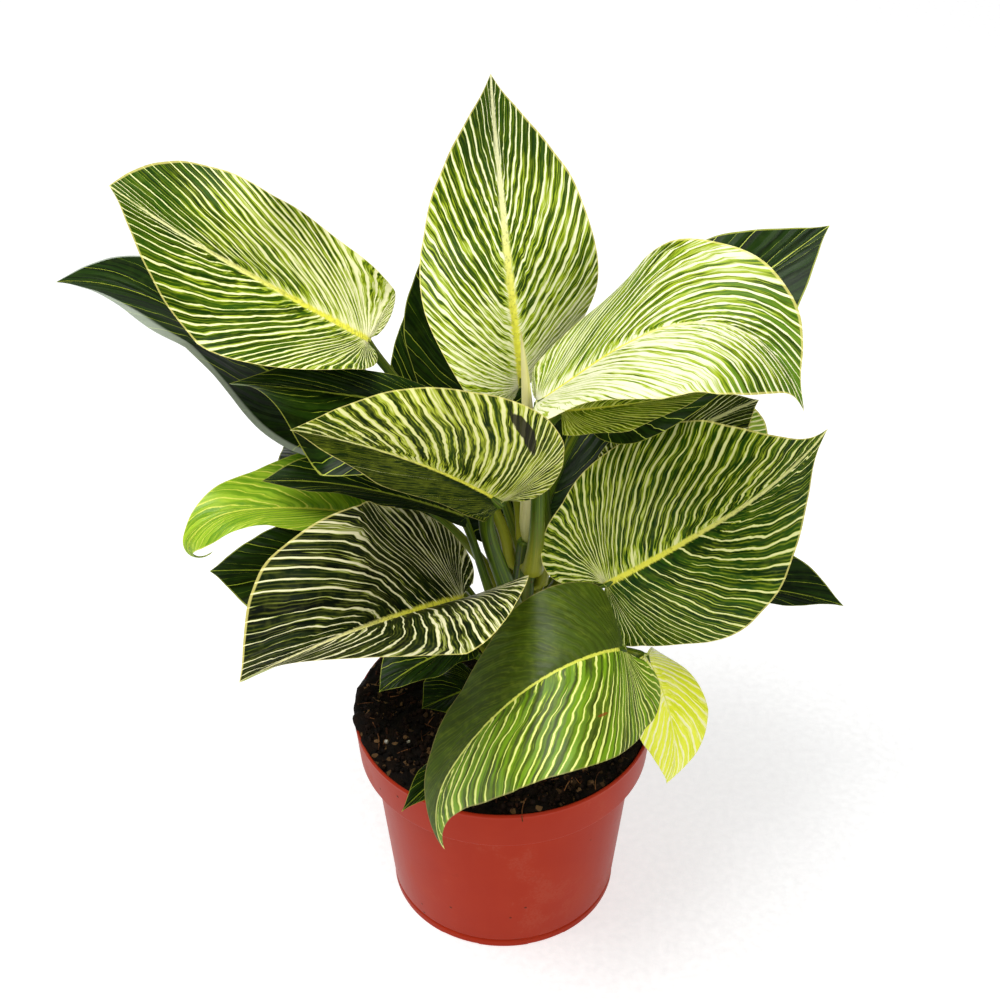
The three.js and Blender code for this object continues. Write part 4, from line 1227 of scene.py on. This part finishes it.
def makePeat(skin):
    # the peat's top, heaped over the rim on the left, and its sides down to the pot's floor
    segments = soil["segments"]
    angles = [fullTurn * i / segments for i in range(segments)]
    rings = [[soilPoint(0, 0)]]
    for ring in range(1, soil["rings"] + 1):
        reach = soil["radius"] * ring / soil["rings"]
        rings.append([soilPoint(angle, reach) for angle in angles])
    rim = rings[-1]
    for out, down in soil["lip"]:
        lip = []
        for angle, (x, y, level) in zip(angles, rim):
            reach = soil["radius"] + soil["overhang"] * out * heaped(angle)
            drop = (0.2 + 0.7 * soil["heap"] * heaped(angle)) * down
            lip.append((reach * mm * math.cos(angle), reach * mm * math.sin(angle), level - drop * mm))
        rings.append(lip)
    rings += [ringOf(reach, level, segments) for reach, level in soil["sides"]]
    rings.append(ringOf(0, soil["sides"][-1][1], segments))
    data = ringMesh("soilTop", rings, segments, startsUp=True)
    data.materials.append(skin)
    data.shade_smooth()
    return newPiece("soil", data)


# What lies on the peat: how many a square metre, the least and greatest size, the shape of a lump
# and how far it stands out of the peat. Fibres are bent threads instead of lumps.
litterKinds = {
    "Crumb": {"density": 170000.0, "sizes": (0.5, 1.6), "shape": (1.0, 0.8, 0.6), "lift": 0.6},
    "Bark": {"density": 22000.0, "sizes": (1.0, 2.4), "shape": (1.0, 0.34, 0.22), "lift": 0.4},
    "Grain": {"density": 1900.0, "sizes": (0.6, 1.2), "shape": (1.0, 0.9, 0.8), "lift": 0.5},
    "Fibre": {"density": 10000.0, "sizes": (2.2, 7.5), "shape": None, "lift": 0.0},
}


def makeLump(tree, shape, number):
    # a dented ball pressed to its shape
    ball = tree.get("GeometryNodeMeshIcoSphere", {"Radius": 1.0, "Subdivisions": 2})
    place = tree.get("GeometryNodeInputPosition")
    dent = tree.grain(tree.move(place, (number * 3.1, 0, 0)), 1.6, 2.0) * 1.3 + 0.35
    pressed = tree.get("ShaderNodeVectorMath", {0: place, 1: shape}, operation="MULTIPLY")
    return tree.place(ball, Position=tree.scale(pressed, dent))


def makeThread(tree):
    arc = {"Start": (-1, 0, 0), "Middle": (0.1, 0.34, 0.1), "End": (1, 0, 0.16), "Resolution": 7}
    curve = tree.get("GeometryNodeCurveQuadraticBezier", arc)
    section = tree.get("GeometryNodeCurvePrimitiveCircle", {"Resolution": 5, "Radius": 0.035})
    sweep = {"Curve": curve, "Profile Curve": section, "Fill Caps": True}
    return tree.get("GeometryNodeCurveToMesh", sweep)


def makeLitterTree():
    # crumbs of peat, shreds of bark, pale grains and fibres scattered over a surface
    inputs = {"Ground": "geometry", "Seed": 11}
    for kind, litter in litterKinds.items():
        inputs[kind + " Density"] = litter["density"]
        inputs[kind + " Skin"] = "material"
    tree = newGroup("litter", "GeometryNodeTree", inputs, {"Litter": "geometry"})
    given = tree.given
    facingUp = tree.split(tree.get("GeometryNodeInputNormal"))[2]
    x, y = tree.split(tree.get("GeometryNodeInputPosition"))[:2]
    within = tree.ramp(tree.calc("SQRT", x * x + y * y), soil["bareFrom"] * mm, soil["litterTo"] * mm)
    isLevel = {"A": facingUp * within, "B": soil["steepest"]}
    inside = tree.get("FunctionNodeCompare", isLevel, operation="GREATER_THAN")
    parts = []
    for number, (kind, litter) in enumerate(litterKinds.items()):
        seed = given["Seed"] + number * 7
        density = given[kind + " Density"]
        scatter = {"Mesh": given["Ground"], "Selection": inside, "Density": density, "Seed": seed}
        points = tree.get("GeometryNodeDistributePointsOnFaces", scatter)
        lump = makeLump(tree, litter["shape"], number) if litter["shape"] else makeThread(tree)
        low, high = (size * mm for size in litter["sizes"])
        size = {"Min": low, "Max": high, "Seed": seed + 1}
        size = tree.get("FunctionNodeRandomValue", size, "Value")
        lean = 3.1 if litter["shape"] else 0.25
        turn = {"Min": (-lean, -lean, -3.1), "Max": (lean, lean, 3.1), "Seed": seed + 2}
        turn = tree.get("FunctionNodeRandomValue", turn, "Value", data_type="FLOAT_VECTOR")
        spread = {"Points": points, "Instance": lump, "Rotation": turn, "Scale": size}
        placed = tree.get("GeometryNodeInstanceOnPoints", spread)
        lift = {"Instances": placed, "Translation": (0, 0, litter["lift"] * mm), "Local Space": False}
        placed = tree.get("GeometryNodeTranslateInstances", lift)
        parts.append(tree.finish(placed, given[kind + " Skin"]))
    tree.give("Litter", tree.join(parts))
    return tree


studio = {
    "eye": (0, -0.558, 0.614), "pitch": 36.9, "lens": 68.04, "sensor": 36, "shift": -0.0035,
    "floor": 3.0, "paper": (205, 205, 205), "paperDullness": 0.6, "paperGlow": 0.62,
    "ambience": 0.28, "target": (0, 0, 0.15),
    "lights": {
        "above": {"place": (-0.5, -0.2, 1.6), "size": 1.2, "power": 25},
        "front": {"place": (0.5, -1.4, 1.0), "size": 0.9, "power": 7},
    },
}


def paperMaterial():
    # faintly fibrous paper, lit a little from within so that the floor runs out to white
    def build(graph):
        grain = graph.grain(graph.get("ShaderNodeTexCoord", key="Object"), 300.0, 3.0)
        low, high = (tone(*(channel * share for channel in studio["paper"])) for share in (0.85, 1.1))
        return graph.blend(grain, low, high), 0.1 * grain + studio["paperDullness"], grain
    paper = finishSurface("paper", build, 0.1 * mm)
    shader = next(node for node in paper.node_tree.nodes if node.type == "BSDF_PRINCIPLED")
    shader.inputs["Emission Color"].default_value = (1, 1, 1, 1)
    shader.inputs["Emission Strength"].default_value = studio["paperGlow"]
    return paper


def addCamera():
    data = bpy.data.cameras.new("camera")
    data.sensor_width = studio["sensor"]
    data.lens = studio["lens"]
    data.shift_x = studio["shift"]
    data.clip_start = 0.01
    camera = newPiece("camera", data)
    camera.location = studio["eye"]
    camera.rotation_euler = (math.radians(90 - studio["pitch"]), 0, 0)
    bpy.context.scene.camera = camera


def addLight(name, place, size, power):
    data = bpy.data.lights.new(name, "AREA")
    data.shape = "DISK"
    data.size = size
    data.energy = power
    light = newPiece(name, data)
    light.location = place
    light.rotation_euler = (Vector(studio["target"]) - Vector(place)).to_track_quat("-Z", "Y").to_euler()


def addStudio():
    # a white room: pale floor, soft light from above and from the front right
    scene = bpy.context.scene
    scene.world = bpy.data.worlds.new("studio")
    scene.world.use_nodes = True
    background = scene.world.node_tree.nodes["Background"]
    background.inputs["Color"].default_value = (1, 1, 1, 1)
    background.inputs["Strength"].default_value = studio["ambience"]
    scene.view_settings.view_transform = "Standard"
    reach = studio["floor"]
    corners = [(-reach, -reach, 0), (reach, -reach, 0), (reach, reach, 0), (-reach, reach, 0)]
    data = bpy.data.meshes.new("floor")
    data.from_pydata(corners, [], [(0, 1, 2, 3)])
    data.materials.append(paperMaterial())
    newPiece("floor", data)
    for name, light in studio["lights"].items():
        addLight(name, **light)


addCamera()
addStudio()
bladeTree = makeBladeTree()
stalkTree = makeSweepTree("leafStalk", stalk["sides"], channelled, {"Channel": 0.2})
spearTree = makeSweepTree("rolledLeaf", spear["sides"], rolled, {"Step": spear["step"]})
pattern = makeLeafPattern()
stalkPattern = makeStalkPattern()
print("trees and materials ready")

for number, leaf in enumerate(leaves):
    materials = leafMaterials(leaf, pattern, number * 3.7 + 1.0)
    dress(makeBlade(leaf, bladeTree, materials, number), leaf["name"] + "_blade")
    skin = stalkMaterial(leaf["name"] + "StalkGreen", stalkPattern, Seed=number * 2.3)
    dress(makeStalk(leaf, stalkTree, skin), leaf["name"] + "_stalk")
print("leaves grown:", len(leaves))

stemSkin = stalkMaterial("stemGreen", stalkPattern, Seed=71.0, Blushing=0.9)
dress(makeStem(stalkTree, stemSkin), "stem")
dress(makeSpear(spearTree, spearMaterial()), "new_leaf_spear")
dress(makePot(potMaterial()), "pot")
peat = makePeat(earthMaterial("peat", (12, 8, 6), (32, 20, 13)))
dress(peat, "soil")
litterSkins = {
    "Crumb Skin": earthMaterial("peatCrumb", (16, 10, 7), (42, 26, 17)),
    "Bark Skin": earthMaterial("barkShred", (36, 20, 12), (78, 46, 28)),
    "Grain Skin": earthMaterial("paleGrain", (150, 138, 120), (214, 206, 190), (235, 230, 220)),
    "Fibre Skin": earthMaterial("peatFibre", (70, 40, 24), (150, 98, 60)),
}
litter = grown("soilLitter", peat.data.copy(), makeLitterTree(), litterSkins)
dress(litter, None)
print("stem, spear, pot and soil ready")
